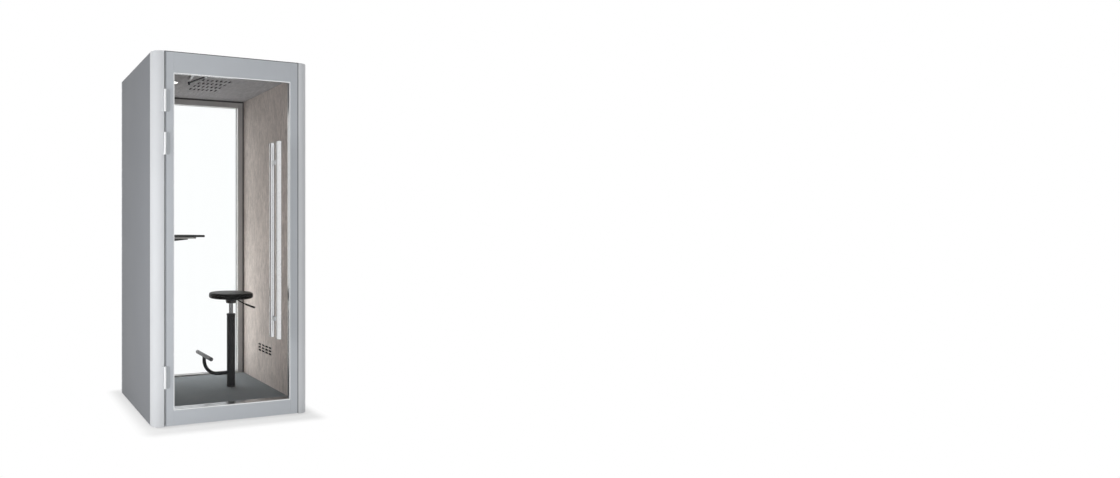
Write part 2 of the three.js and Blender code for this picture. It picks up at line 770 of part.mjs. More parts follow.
// Door leaf: hollow grooved stiles and rails around one pane
const glassBack = GLASS_FRONT + DOOR_GLASS;
const stileOutline = [
  [GLASS_HALF, 0],
  [DOOR_HALF, 0],
  [DOOR_HALF, DOOR_THICKNESS],
  [GLASS_HALF, DOOR_THICKNESS],
  [GLASS_HALF, glassBack + GAP],
  [GLASS_HALF + GROOVE, glassBack + GAP],
  [GLASS_HALF + GROOVE, GLASS_FRONT - GAP],
  [GLASS_HALF, GLASS_FRONT - GAP],
];
for (const [name, side] of [
  ["hinge", -1],
  ["lock", 1],
]) {
  const stile = raise(polygon(stileOutline.map(([x, y]) => [side * x, y])), DOOR_BOTTOM, DOOR_TOP);
  const hollowX = [
    side * (GLASS_HALF + GROOVE + PROFILE_WALL),
    side * (DOOR_HALF - PROFILE_WALL),
  ].sort((a, b) => a - b);
  const hollow = box(
    ...hollowX,
    PROFILE_WALL,
    DOOR_THICKNESS - PROFILE_WALL,
    DOOR_BOTTOM - PROFILE_WALL,
    DOOR_TOP - PROFILE_WALL,
  );
  add(`door_stile_${name}`, cut(stile, hollow), DOOR_GREY);
}
// Rail outline in depth and height: edge is next to the glass, far is the free edge
function doorRail(edge, far) {
  const direction = Math.sign(far - edge);
  const floor = edge + direction * GROOVE;
  const rail = polygon([
    [0, edge],
    [GLASS_FRONT - GAP, edge],
    [GLASS_FRONT - GAP, floor],
    [glassBack + GAP, floor],
    [glassBack + GAP, edge],
    [DOOR_THICKNESS, edge],
    [DOOR_THICKNESS, far],
    [0, far],
  ]);
  const near = floor + direction * PROFILE_WALL;
  const end = far - direction * PROFILE_WALL;
  rail.holes.push(
    polygon([
      [PROFILE_WALL, near],
      [DOOR_THICKNESS - PROFILE_WALL, near],
      [DOOR_THICKNESS - PROFILE_WALL, end],
      [PROFILE_WALL, end],
    ]),
  );
  return runAcross(rail, GAP - GLASS_HALF, GLASS_HALF - GAP);
}
add("door_rail_top", doorRail(GLASS_HIGH, DOOR_TOP), DOOR_GREY);
add("door_rail_bottom", doorRail(GLASS_LOW, DOOR_BOTTOM), DOOR_GREY);
const paneHalf = GLASS_HALF + GROOVE - GAP;
const pane = polygon([
  [-paneHalf, GLASS_LOW - GROOVE + GAP],
  [paneHalf, GLASS_LOW - GROOVE + GAP],
  [paneHalf, GLASS_HIGH + GROOVE - GAP],
  [-paneHalf, GLASS_HIGH + GROOVE - GAP],
]);
const POSTS = [
  ["lower", POST_MIDDLE - POST_SPACING / 2],
  ["upper", POST_MIDDLE + POST_SPACING / 2],
];
for (const [, z] of POSTS) pane.holes.push(circlePath(PULL_X, z, POST_RADIUS + GAP));
add("door_glass", runBack(pane, GLASS_FRONT, glassBack), GLASS);

// Seal round the inner face of the door
const sealOuter = DOOR_HALF - SEAL_INSET;
const sealInner = sealOuter - SEAL_WIDTH;
const sealLow = DOOR_BOTTOM + SEAL_END_INSET;
const sealHigh = DOOR_TOP - SEAL_END_INSET;
const seal = polygon([
  [-sealOuter, sealLow],
  [sealOuter, sealLow],
  [sealOuter, sealHigh],
  [-sealOuter, sealHigh],
]);
seal.holes.push(
  polygon([
    [-sealInner, sealLow + SEAL_WIDTH],
    [sealInner, sealLow + SEAL_WIDTH],
    [sealInner, sealHigh - SEAL_WIDTH],
    [-sealInner, sealHigh - SEAL_WIDTH],
  ]),
);
add("door_seal", runBack(seal, DOOR_THICKNESS + GAP, DOOR_STOP - GAP), RUBBER);

// Pull: a tube on each side of the glass on two posts that pass through it
const pullLow = PULL_MIDDLE - PULL_LENGTH / 2;
const pullHigh = PULL_MIDDLE + PULL_LENGTH / 2;
function pullTube(y) {
  return cut(
    rodUp(PULL_X, y, pullLow, pullHigh, PULL_RADIUS),
    rodUp(PULL_X, y, pullLow - PULL_WALL, pullHigh - PULL_WALL, PULL_RADIUS - PULL_WALL),
  );
}
add("pull_bar_outer", pullTube(-PULL_REACH), STAINLESS);
add("pull_bar_inner", pullTube(PULL_INNER), STAINLESS);
for (const [name, z] of POSTS) {
  const post = cut(
    rodBack(PULL_X, z, -PULL_REACH, PULL_INNER, POST_RADIUS),
    rodUp(PULL_X, -PULL_REACH, pullLow, pullHigh, PULL_RADIUS + GAP),
    rodUp(PULL_X, PULL_INNER, pullLow, pullHigh, PULL_RADIUS + GAP),
  );
  add(`pull_post_${name}`, post, STAINLESS);
}

// Hinges: the column leaf carries the outer knuckles and the pin, the door leaf the middle one
const knuckle = (HINGE_HEIGHT - 2 * GAP) / 3;
function leafPlate(direction, width, z) {
  const outer = HINGE_X + direction * width;
  const inner = HINGE_X + direction * LEAF_EDGE;
  const bevel = outer - direction * LEAF_CHAMFER;
  const outline = polygon([
    [inner, z],
    [bevel, z],
    [outer, z + LEAF_CHAMFER],
    [outer, z + HINGE_HEIGHT - LEAF_CHAMFER],
    [bevel, z + HINGE_HEIGHT],
    [inner, z + HINGE_HEIGHT],
  ]);
  return runBack(outline, -GAP - HINGE_PLATE, -GAP);
}
function leafTab(direction, z0, z1) {
  const tabX = [HINGE_X, HINGE_X + direction * (LEAF_EDGE + GAP)].sort((a, b) => a - b);
  return box(...tabX, -GAP - HINGE_PLATE, -GAP, z0, z1);
}
const HINGES = [
  ["low", HINGE_LOW_RISE],
  ["middle", POD_HEIGHT - HINGE_MIDDLE_DROP],
  ["top", POD_HEIGHT - HINGE_TOP_DROP],
];
for (const [name, middle] of HINGES) {
  const z0 = middle - HINGE_HEIGHT / 2;
  const z1 = z0 + knuckle;
  const z2 = z1 + GAP;
  const z3 = z2 + knuckle;
  const z4 = z3 + GAP;
  const z5 = z0 + HINGE_HEIGHT;
  const columnLeaf = join(
    leafPlate(-1, COLUMN_LEAF, z0),
    leafTab(-1, z0, z1),
    leafTab(-1, z4, z5),
    rodUp(HINGE_X, HINGE_Y, z0, z1, HINGE_BARREL),
    rodUp(HINGE_X, HINGE_Y, z4, z5, HINGE_BARREL),
    rodUp(HINGE_X, HINGE_Y, z0, z5, HINGE_PIN),
  );
  add(`hinge_${name}_column_leaf`, columnLeaf, LIGHT_METAL);
  const doorLeaf = cut(
    join(
      leafPlate(1, DOOR_LEAF, z0),
      leafTab(1, z2, z3),
      rodUp(HINGE_X, HINGE_Y, z2, z3, HINGE_BARREL),
    ),
    rodUp(HINGE_X, HINGE_Y, z0, z5, HINGE_PIN + GAP),
  );
  add(`hinge_${name}_door_leaf`, doorLeaf, DOOR_GREY);
}

// Closer arms: the main arm turns on the spindle, the forearm on the shoe of the door
const mainArmTop = MAIN_ARM_Z + ARM_THICKNESS;
const forearmTop = FOREARM_Z + ARM_THICKNESS;
const mainArm = join(
  flatBar(spindle, elbow, MAIN_ARM_WIDTH, MAIN_ARM_Z, mainArmTop),
  rodUp(...spindle, MAIN_ARM_Z, mainArmTop, SPINDLE_EYE),
  rodUp(...elbow, MAIN_ARM_Z, mainArmTop, ARM_EYE),
  rodUp(...spindle, MAIN_ARM_Z, bodyBottom - GAP, SPINDLE_RADIUS),
  rodUp(...elbow, MAIN_ARM_Z - ELBOW_KNOB_LENGTH, mainArmTop, ELBOW_KNOB),
);
add("closer_main_arm", mainArm, BLACK_METAL);
const forearm = cut(
  join(
    taperBar(shoePin, elbow, FOREARM_WIDTH, FOREARM_TIP, FOREARM_Z, forearmTop),
    rodUp(...shoePin, FOREARM_Z, forearmTop, ARM_EYE),
    rodUp(...elbow, FOREARM_Z, forearmTop, ARM_EYE),
    rodUp(...elbow, mainArmTop + 2 * GAP, forearmTop, ELBOW_PIN),
  ),
  rodUp(...shoePin, FOREARM_Z - ARM_THICKNESS, forearmTop + ARM_THICKNESS, SHOE_PIN_RADIUS + GAP),
);
add("closer_forearm", forearm, LIGHT_METAL);
const shoeFront = DOOR_THICKNESS + GAP;
const lugBottom = forearmTop + 2 * GAP;
const lugTop = lugBottom + SHOE_LUG;
const shoe = join(
  box(
    shoePin[0] - SHOE_WIDTH / 2,
    shoePin[0] + SHOE_WIDTH / 2,
    shoeFront,
    shoeFront + SHOE_PLATE,
    lugTop - SHOE_HEIGHT,
    lugTop,
  ),
  box(
    shoePin[0] - ARM_EYE,
    shoePin[0] + ARM_EYE,
    shoeFront,
    shoePin[1] + ARM_EYE,
    lugBottom,
    lugTop,
  ),
  rodUp(...shoePin, FOREARM_Z, lugTop, SHOE_PIN_RADIUS),
);
add("closer_shoe", shoe, LIGHT_METAL);

// Stool: column standing on the platform, sliding gas rod, swivelling seat
const stool = [STOOL_X, CABIN_MIDDLE];
const rodBore = ROD_RADIUS + GAP;
const stoolColumn = turned(
  [
    [rodBore, CARPET_BOTTOM],
    [COLUMN_RADIUS, CARPET_BOTTOM],
    [COLUMN_RADIUS, COLUMN_TOP],
    [rodBore, COLUMN_TOP],
    [rodBore, CARPET_BOTTOM],
  ],
  ...stool,
);
add("stool_column", stoolColumn, BLACK_METAL);
add("stool_gas_rod", rodUp(...stool, ROD_BOTTOM, ROD_TOP, ROD_RADIUS, TURN_STEPS), CHROME);
const plateTop = SEAT_BOTTOM - GAP;
const plateBottom = plateTop - SEAT_PLATE;
const hub = turned(
  [
    [rodBore, HUB_BOTTOM],
    [HUB_FOOT, HUB_BOTTOM],
    [HUB_RADIUS, (HUB_BOTTOM + plateBottom) / 2],
    [HUB_RADIUS, plateBottom],
    [SEAT_PLATE_RADIUS, plateBottom],
    [SEAT_PLATE_RADIUS, plateTop],
    [0, plateTop],
    [0, ROD_TOP + GAP],
    [rodBore, ROD_TOP + GAP],
    [rodBore, HUB_BOTTOM],
  ],
  ...stool,
);
const pivotX = STOOL_X + LEVER_PIVOT;
function lug(direction) {
  const lugY = [
    CABIN_MIDDLE + direction * LUG_INSIDE,
    CABIN_MIDDLE + direction * LUG_OUTSIDE,
  ].sort((a, b) => a - b);
  return box(pivotX - LUG_HALF, pivotX + LUG_HALF, ...lugY, LEVER_Z - LUG_HALF, plateTop - GAP);
}
const seatPlate = cut(
  join(hub, lug(-1), lug(1)),
  rodBack(pivotX, LEVER_Z, CABIN_MIDDLE - HUB_RADIUS, CABIN_MIDDLE + HUB_RADIUS, LEVER_PIN + GAP),
);
add("stool_seat_plate", seatPlate, BLACK_METAL);

// Cushion: flat below, sides rounded to a half ellipse, and a crown that rises as a cosine
const seatTop = SEAT_BOTTOM + SEAT_HEIGHT;
const seatRim = SEAT_RADIUS - SEAT_ROUND;
const cushionProfile = [[0, SEAT_BOTTOM]];
for (const [u, v] of arc(0, 0, 1, -90, 90)) {
  cushionProfile.push([seatRim + SEAT_ROUND * u, SEAT_BOTTOM + (SEAT_SIDE * (1 + v)) / 2]);
}
for (let step = ARC_STEPS - 1; step > 0; step -= 1) {
  const share = step / ARC_STEPS;
  const crown = (SEAT_HEIGHT - SEAT_SIDE) * Math.cos((share * Math.PI) / 2);
  cushionProfile.push([seatRim * share, SEAT_BOTTOM + SEAT_SIDE + crown]);
}
cushionProfile.push([0, seatTop]);
const cushion = turned(cushionProfile, ...stool);
add("stool_cushion", cushion, BLACK_PAD);

// Release lever: bent rod on a cross pin between the lugs, with a grip
function leverPoint([reach, z]) {
  return [STOOL_X + reach, CABIN_MIDDLE, z];
}
const leverPath = [
  [LEVER_PIVOT, LEVER_Z],
  [LEVER_BEND, LEVER_BEND_Z],
  [GRIP_START, GRIP_START_Z],
  [LEVER_TIP, LEVER_TIP_Z],
].map(leverPoint);
const capReach = GRIP_RADIUS / 2;
const capDrop = GRIP_RADIUS / 4;
const gripPath = [
  [GRIP_START, GRIP_START_Z],
  [(GRIP_START + LEVER_TIP) / 2, (GRIP_START_Z + LEVER_TIP_Z) / 2],
  [LEVER_TIP + capReach, LEVER_TIP_Z - capDrop],
].map(leverPoint);
const barrelEnd = LUG_INSIDE - GAP;
const lever = join(
  roundBar(leverPath, LEVER_RADIUS, BAR_STEPS),
  roundBar(gripPath, GRIP_RADIUS, ARC_STEPS),
  rodBack(pivotX, LEVER_Z, CABIN_MIDDLE - barrelEnd, CABIN_MIDDLE + barrelEnd, LEVER_BARREL),
  rodBack(pivotX, LEVER_Z, CABIN_MIDDLE - LUG_OUTSIDE, CABIN_MIDDLE + LUG_OUTSIDE, LEVER_PIN),
);
add("stool_lever", lever, BLACK_METAL);

// Footrest: an arm that leaves the column level, turns upright on an arc and meets a crossbar
const bendX = STOOL_X - FOOTREST_LEVEL;
const barX = bendX - FOOTREST_BEND;
const armBend = arc(bendX, FOOTREST_ARM_Z + FOOTREST_BEND, FOOTREST_BEND, 270, 180);
const armPath = [[STOOL_X, FOOTREST_ARM_Z], ...armBend, [barX, FOOTREST_Z]].map(([x, z]) => [
  x,
  CABIN_MIDDLE,
  z,
]);
const barStart = CABIN_MIDDLE - FOOTREST_LENGTH / 2;
const barEnd = CABIN_MIDDLE + FOOTREST_LENGTH / 2;
const footrestArm = cut(
  roundBar(armPath, FOOTREST_ARM, BAR_STEPS),
  rodUp(...stool, UNDERSIDE, COLUMN_TOP, COLUMN_RADIUS + GAP, TURN_STEPS),
  rodBack(barX, FOOTREST_Z, barStart, barEnd, FOOTREST_BAR + GAP),
);
add("footrest_arm", footrestArm, BLACK_METAL);
add("footrest_bar", rodBack(barX, FOOTREST_Z, barStart, barEnd, FOOTREST_BAR), BLACK_METAL);

// Wall table: black top on a light plate, carried by a bracket with two tapered webs
const tableLow = TABLE_TOP_Z - TABLE_THICKNESS;
const tableWall = GAP - INNER;
function tableOutline(reach, width, corner) {
  const edge = reach - INNER;
  const y0 = CABIN_MIDDLE - width / 2;
  const y1 = CABIN_MIDDLE + width / 2;
  return polygon([
    [tableWall, y0],
    ...arc(edge - corner, y0 + corner, corner, -90, 0),
    ...arc(edge - corner, y1 - corner, corner, 0, 90),
    [tableWall, y1],
  ]);
}
const topOutline = tableOutline(TABLE_REACH, TABLE_WIDTH, TABLE_CORNER);
add("table_top", raise(topOutline, tableLow, TABLE_TOP_Z), BLACK_PLASTIC);
const plateWidth = TABLE_WIDTH - 2 * TABLE_PLATE_INSET;
const plateHigh = tableLow - GAP;
const plateLow = plateHigh - TABLE_PLATE;
const plateOutline = tableOutline(TABLE_PLATE_REACH, plateWidth, TABLE_CORNER - TABLE_PLATE_INSET);
add("table_plate", raise(plateOutline, plateLow, plateHigh), LIGHT_METAL);
const bracketHigh = plateLow - GAP;
const bracketLow = bracketHigh - BRACKET_DROP;
const webOutline = polygon([
  [tableWall, bracketLow],
  [BRACKET_REACH - INNER, bracketHigh - BRACKET_BACK],
  [BRACKET_REACH - INNER, bracketHigh],
  [tableWall, bracketHigh],
]);
const webStart = CABIN_MIDDLE - plateWidth / 2;
const webEnd = CABIN_MIDDLE + plateWidth / 2;
const bracket = join(
  box(tableWall, tableWall + BRACKET_BACK, webStart, webEnd, bracketLow, bracketHigh),
  runBack(webOutline, webStart, webStart + BRACKET_WEB),
  runBack(webOutline, webEnd - BRACKET_WEB, webEnd),
);
add("table_bracket", bracket, BLACK_METAL);

export default pod;
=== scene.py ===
import math

import bmesh
import bpy
import numpy as np
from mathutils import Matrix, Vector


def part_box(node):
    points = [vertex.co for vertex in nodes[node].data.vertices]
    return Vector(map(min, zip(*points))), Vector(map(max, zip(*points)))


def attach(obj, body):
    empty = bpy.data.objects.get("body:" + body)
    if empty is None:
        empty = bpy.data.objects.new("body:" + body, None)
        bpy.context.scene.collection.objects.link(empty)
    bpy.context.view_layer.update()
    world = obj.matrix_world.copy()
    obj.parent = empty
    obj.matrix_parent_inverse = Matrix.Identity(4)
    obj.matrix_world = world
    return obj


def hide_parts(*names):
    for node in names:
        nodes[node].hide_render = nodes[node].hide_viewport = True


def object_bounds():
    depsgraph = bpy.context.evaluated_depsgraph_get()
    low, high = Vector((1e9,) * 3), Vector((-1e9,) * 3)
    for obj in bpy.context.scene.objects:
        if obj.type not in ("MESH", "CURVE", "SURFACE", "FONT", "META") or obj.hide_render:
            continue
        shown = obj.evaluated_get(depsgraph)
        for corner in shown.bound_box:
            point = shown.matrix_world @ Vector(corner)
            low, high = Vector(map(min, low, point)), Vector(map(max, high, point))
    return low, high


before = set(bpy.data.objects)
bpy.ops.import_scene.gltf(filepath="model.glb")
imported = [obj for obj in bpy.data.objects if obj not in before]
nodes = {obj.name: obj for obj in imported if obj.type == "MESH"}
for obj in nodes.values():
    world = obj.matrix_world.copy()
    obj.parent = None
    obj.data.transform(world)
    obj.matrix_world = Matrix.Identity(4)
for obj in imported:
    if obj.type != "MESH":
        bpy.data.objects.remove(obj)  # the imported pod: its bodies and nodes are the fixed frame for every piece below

cad_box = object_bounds()
scene = bpy.context.scene

# Camera: a wide lens at breast height, left of the pod and level, turned towards its left front
# corner. The picture is shifted so that the pod stands in its left part.
camera_data = bpy.data.cameras.new("camera")
camera = bpy.data.objects.new("camera", camera_data)
scene.collection.objects.link(camera)
camera.location = (-1.4275, -4.2730, 1.1554)
camera.rotation_euler = (math.radians(90), 0, math.radians(-19.9165))
camera_data.sensor_width = 36
camera_data.lens = 21.71
camera_data.shift_x = 0.2976
camera_data.shift_y = -0.00785
scene.camera = camera

# Studio: a pale floor under a white surround, lit by large soft lamps in front and above, so that
# the front is bright and the left side stands in softer light.
scene.view_settings.view_transform = "Standard"
world = bpy.data.worlds.new("studio")
scene.world = world
world.use_nodes = True


def seen_directly(tree):
    """Socket that is 1 for rays that reach the eye straight, off a mirror or through a pane, and 0
    for light on its way from one matt surface to another."""
    path = tree.nodes.new("ShaderNodeLightPath")

    def joined(operation, first, second):
        step = tree.nodes.new("ShaderNodeMath")
        step.operation = operation
        tree.links.new(first, step.inputs[0])
        if isinstance(second, float):
            step.inputs[1].default_value = second
        else:
            tree.links.new(second, step.inputs[1])
        return step.outputs[0]

    sharp = joined("MAXIMUM", path.outputs["Is Glossy Ray"], path.outputs["Is Transmission Ray"])
    sharp = joined("MAXIMUM", path.outputs["Is Camera Ray"], sharp)
    unspread = joined("LESS_THAN", path.outputs["Diffuse Depth"], 0.5)
    return joined("MULTIPLY", sharp, unspread)


def blend_shaders(tree, factor, first, second):
    """Mix of two shaders by a socket, 0 for the first and 1 for the second."""
    mix = tree.nodes.new("ShaderNodeMixShader")
    tree.links.new(factor, mix.inputs[0])
    tree.links.new(first, mix.inputs[1])
    tree.links.new(second, mix.inputs[2])
    return mix.outputs[0]


surround = world.node_tree
ambient = surround.nodes["Background"]
ambient.inputs["Color"].default_value = (0.92, 0.96, 1.0, 1)
ambient.inputs["Strength"].default_value = 0.10
white = surround.nodes.new("ShaderNodeBackground")
white.inputs["Color"].default_value = (1.0, 1.0, 1.0, 1)
white.inputs["Strength"].default_value = 1.0
shown = blend_shaders(
    surround, seen_directly(surround), ambient.outputs[0], white.outputs[0]
)
surround.links.new(shown, surround.nodes["World Output"].inputs["Surface"])

# Two lamps stand in the rear window, on the far side of its pane, and light the cabin from behind,
# more strongly low down.
rear_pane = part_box("rear_glass")
window_y = float(rear_pane[1][1]) + 0.006
WINDOW_Z = 1.05
SILL_Z = 0.60
LAMPS = {
    "key": ((-3.2, -1.6, 1.2), (0.0, -0.3, 0.9), (1.4, 1.4), 74),
    "front": ((-1.2, -3.6, 0.9), (0.0, -0.3, 0.8), (1.6, 1.6), 40),
    "window": ((0.0, window_y, WINDOW_Z), (0.0, -1.0, WINDOW_Z), (0.726, 1.86), 5.1),
    "window_low": ((0.0, window_y, SILL_Z), (0.0, -1.0, SILL_Z), (0.726, 0.96), 2.2),
    "top": ((0.0, -0.4, 5.0), (0.0, 0.0, 0.0), (3.6, 3.6), 72),
}
for lamp_name, (place, target, extent, power) in LAMPS.items():
    lamp_data = bpy.data.lights.new(lamp_name, "AREA")
    lamp_data.shape = "RECTANGLE"
    lamp_data.size, lamp_data.size_y = extent
    lamp_data.energy = power
    lamp_data.cycles.use_multiple_importance_sampling = False
    lamp = bpy.data.objects.new(lamp_name, lamp_data)
    lamp.visible_camera = False
    lamp.visible_glossy = False
    lamp.visible_transmission = False
    scene.collection.objects.link(lamp)
    direction = np.subtract(target, place)
    level = math.hypot(direction[0], direction[1])
    lamp.location = place
    lamp.rotation_euler = (
        math.atan2(level, -direction[2]),
        0,
        math.atan2(direction[1], direction[0]) - math.pi / 2,
    )


def linear(red, green, blue):
    """Linear light of a colour given as 0 to 255 on a screen: below 0.04 a straight line, above it
    the 2.4th power."""
    share = np.array([red, green, blue]) / 255
    return np.where(share <= 0.04045, share / 12.92, ((share + 0.055) / 1.055) ** 2.4)


def finish_of(name, colour, roughness, metallic=0.0, **sockets):
    """A surface finish: one principled shader with its plain values set on its own sockets. Words
    of a socket's name are joined by underlines."""
    mat = bpy.data.materials.new(name)
    mat.use_nodes = True
    shader = mat.node_tree.nodes["Principled BSDF"]
    shader.inputs["Base Color"].default_value = (*linear(*colour), 1)
    shader.inputs["Roughness"].default_value = roughness
    shader.inputs["Metallic"].default_value = metallic
    for socket, value in sockets.items():
        shader.inputs[socket.replace("_", " ")].default_value = value
    return mat


def mottle(mat, size, shade=0.0, gloss=0.0, relief=0.0, stretch=(1, 1, 1), detail=3.0, cells=False):
    """Pattern in object coordinates with features of about size metres, longer by stretch along each
    axis. It scales the colour by 1 - shade to 1 + shade, moves the roughness by up to gloss, and
    raises a bump of relief metres. Patterns on one finish add up."""
    tree = mat.node_tree
    shader = tree.nodes["Principled BSDF"]
    place = tree.nodes.new("ShaderNodeTexCoord")
    scale = tree.nodes.new("ShaderNodeMapping")
    scale.inputs["Scale"].default_value = [1 / (size * s) for s in stretch]
    tree.links.new(place.outputs["Object"], scale.inputs["Vector"])
    if cells:
        pattern = tree.nodes.new("ShaderNodeTexVoronoi")
        height = pattern.outputs["Distance"]
    else:
        pattern = tree.nodes.new("ShaderNodeTexNoise")
        pattern.inputs["Detail"].default_value = detail
        height = pattern.outputs["Fac"]
    pattern.inputs["Scale"].default_value = 1.0
    tree.links.new(scale.outputs["Vector"], pattern.inputs["Vector"])

    def ranged(low, high):
        spread = tree.nodes.new("ShaderNodeMapRange")
        spread.inputs["From Min"].default_value = 0.0 if cells else 0.28
        spread.inputs["From Max"].default_value = 0.9 if cells else 0.72
        spread.inputs["To Min"].default_value = low
        spread.inputs["To Max"].default_value = high
        tree.links.new(height, spread.inputs["Value"])
        return spread.outputs["Result"]

    def carry(socket, node_input):
        """Hands on what a shader socket holds so far, a link or its own plain value."""
        if socket.is_linked:
            tree.links.new(socket.links[0].from_socket, node_input)
        else:
            node_input.default_value = socket.default_value

    if shade:
        tint = tree.nodes.new("ShaderNodeMix")
        tint.data_type = "RGBA"
        tint.blend_type = "MULTIPLY"
        tint.inputs["Factor"].default_value = 1.0
        carry(shader.inputs["Base Color"], tint.inputs["A"])
        tree.links.new(ranged(1 - shade, 1 + shade), tint.inputs["B"])
        tree.links.new(tint.outputs["Result"], shader.inputs["Base Color"])
    if gloss:
        swing = tree.nodes.new("ShaderNodeMath")
        swing.operation = "ADD"
        swing.use_clamp = True
        carry(shader.inputs["Roughness"], swing.inputs[0])
        tree.links.new(ranged(-gloss, gloss), swing.inputs[1])
        tree.links.new(swing.outputs[0], shader.inputs["Roughness"])
    if relief:
        bump = tree.nodes.new("ShaderNodeBump")
        bump.inputs["Strength"].default_value = 1.0
        bump.inputs["Distance"].default_value = relief
        tree.links.new(height, bump.inputs["Height"])
        if shader.inputs["Normal"].is_linked:
            tree.links.new(shader.inputs["Normal"].links[0].from_socket, bump.inputs["Normal"])
        tree.links.new(bump.outputs["Normal"], shader.inputs["Normal"])
    return mat


def mesh_object(name, verts, face_groups, mat, sharp=30, closed=True):
    """Puts arrays of vertices and of equal-sided faces into a mesh, merges the doubles at seams and
    poles, points the faces of a closed shape outwards and shades it smooth except at sharp edges."""
    sizes = np.concatenate([np.full(len(g), g.shape[1]) for g in face_groups])
    corners = np.concatenate([g.ravel() for g in face_groups])
    mesh = bpy.data.meshes.new(name)
    mesh.vertices.add(len(verts))
    mesh.vertices.foreach_set("co", verts.astype(np.float32).ravel())
    mesh.loops.add(len(corners))
    mesh.loops.foreach_set("vertex_index", corners.astype(np.int32))
    mesh.polygons.add(len(sizes))
    starts = np.concatenate([[0], np.cumsum(sizes)[:-1]])
    mesh.polygons.foreach_set("loop_start", starts.astype(np.int32))
    mesh.update(calc_edges=True)
    work = bmesh.new()
    work.from_mesh(mesh)
    bmesh.ops.remove_doubles(work, verts=work.verts, dist=2e-6)
    bmesh.ops.dissolve_degenerate(work, edges=work.edges, dist=1e-7)
    if closed:
        bmesh.ops.recalc_face_normals(work, faces=work.faces)
    work.to_mesh(mesh)
    work.free()
    mesh.polygons.foreach_set("use_smooth", np.ones(len(mesh.polygons), bool))
    mesh.set_sharp_from_angle(angle=math.radians(sharp))
    mesh.materials.append(mat)
    piece = bpy.data.objects.new(name, mesh)
    scene.collection.objects.link(piece)
    return piece


def fit_piece(piece, body, slot, *replaced):
    """Fixes a piece to its body and hides the nodes that it stands for; slot is not used."""
    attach(piece, body)
    if replaced:
        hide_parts(*replaced)
    return piece


FLOOR_SIZE = 30.0
floor_line = np.linspace(-FLOOR_SIZE, FLOOR_SIZE, 9)
floor_x, floor_y = np.meshgrid(floor_line, floor_line, indexing="ij")
floor_points = np.stack([floor_x, floor_y, np.zeros_like(floor_x)], -1)


def grid_faces(rows, columns, wrap=False):
    """Four-sided faces between neighbours of a grid of points, numbered row by row. With wrap the
    last column joins the first."""
    number = np.arange(rows * columns).reshape(rows, columns)
    if wrap:
        number = np.concatenate([number, number[:, :1]], 1)
    quads = [number[:-1, :-1], number[1:, :-1], number[1:, 1:], number[:-1, 1:]]
    return np.stack(quads, -1).reshape(-1, 4)


pale = mottle(finish_of("pale_floor", (240, 240, 239), 0.75), 0.8, shade=0.015, gloss=0.04)
floor = mesh_object(
    "floor", floor_points.reshape(-1, 3), [grid_faces(9, 9)], pale, closed=False
)
# Away from the pod's foot the floor fades into the white surround for the eye, not for the light.
FADE_FROM = 0.0
FADE_TO = 0.11
FADE_START = 0.6
ground = pale.node_tree
ground_place = ground.nodes.new("ShaderNodeTexCoord")
ground_offset = ground_place.outputs["Object"]
foot_half = [float(high - low) / 2 for low, high in zip(*cad_box)][:2] + [0.0]
for operation, amount in (("ABSOLUTE", None), ("SUBTRACT", foot_half), ("MAXIMUM", [0.0] * 3)):
    ground_step = ground.nodes.new("ShaderNodeVectorMath")
    ground_step.operation = operation
    ground.links.new(ground_offset, ground_step.inputs[0])
    if amount is not None:
        ground_step.inputs[1].default_value = amount
    ground_offset = ground_step.outputs["Vector"]
ground_reach = ground.nodes.new("ShaderNodeVectorMath")
ground_reach.operation = "LENGTH"
ground.links.new(ground_offset, ground_reach.inputs[0])
ground_fade = ground.nodes.new("ShaderNodeMapRange")
ground_fade.interpolation_type = "SMOOTHSTEP"
ground_fade.inputs["From Min"].default_value = FADE_FROM
ground_fade.inputs["From Max"].default_value = FADE_TO
ground_fade.inputs["To Min"].default_value = FADE_START
ground.links.new(ground_reach.outputs["Value"], ground_fade.inputs["Value"])
ground_eye = ground.nodes.new("ShaderNodeMath")
ground_eye.operation = "MULTIPLY"
ground.links.new(ground_fade.outputs["Result"], ground_eye.inputs[0])
ground.links.new(seen_directly(ground), ground_eye.inputs[1])
ground_white = ground.nodes.new("ShaderNodeEmission")
ground_white.inputs["Color"].default_value = (1.0, 1.0, 1.0, 1)
ground_shader = blend_shaders(
    ground,
    ground_eye.outputs[0],
    ground.nodes["Principled BSDF"].outputs[0],
    ground_white.outputs[0],
)
ground.links.new(ground_shader, ground.nodes["Material Output"].inputs["Surface"])


# Base: a chipboard platform with dark edges on four levelling feet. Each foot is one black rubber
# turning: a pad with a narrower neck that goes up into the wall.
def wear_finish(mat, *names):
    """Gives a finish to CAD nodes whose shape is right."""
    for name in names:
        for held in nodes[name].material_slots:
            held.material = mat


def soften(width, *names):
    """Takes the sharpness off a CAD node's edges: doubles are welded, then edges of more than 40
    degrees are rounded by width."""
    for name in names:
        weld = nodes[name].modifiers.new("weld", "WELD")
        weld.merge_threshold = 1e-5
        bevel = nodes[name].modifiers.new("edges", "BEVEL")
        bevel.width = width
        bevel.segments = 2
        bevel.limit_method = "ANGLE"
        bevel.angle_limit = math.radians(40)


board = finish_of("dark_board", (30, 30, 32), 0.8)
mottle(board, 0.004, shade=0.12, gloss=0.06, relief=0.0002)
wear_finish(board, "base_platform", "wall_core_left", "wall_core_right")

AXES = {"x": (2, 0, 1), "y": (0, 2, 1), "z": (0, 1, 2)}


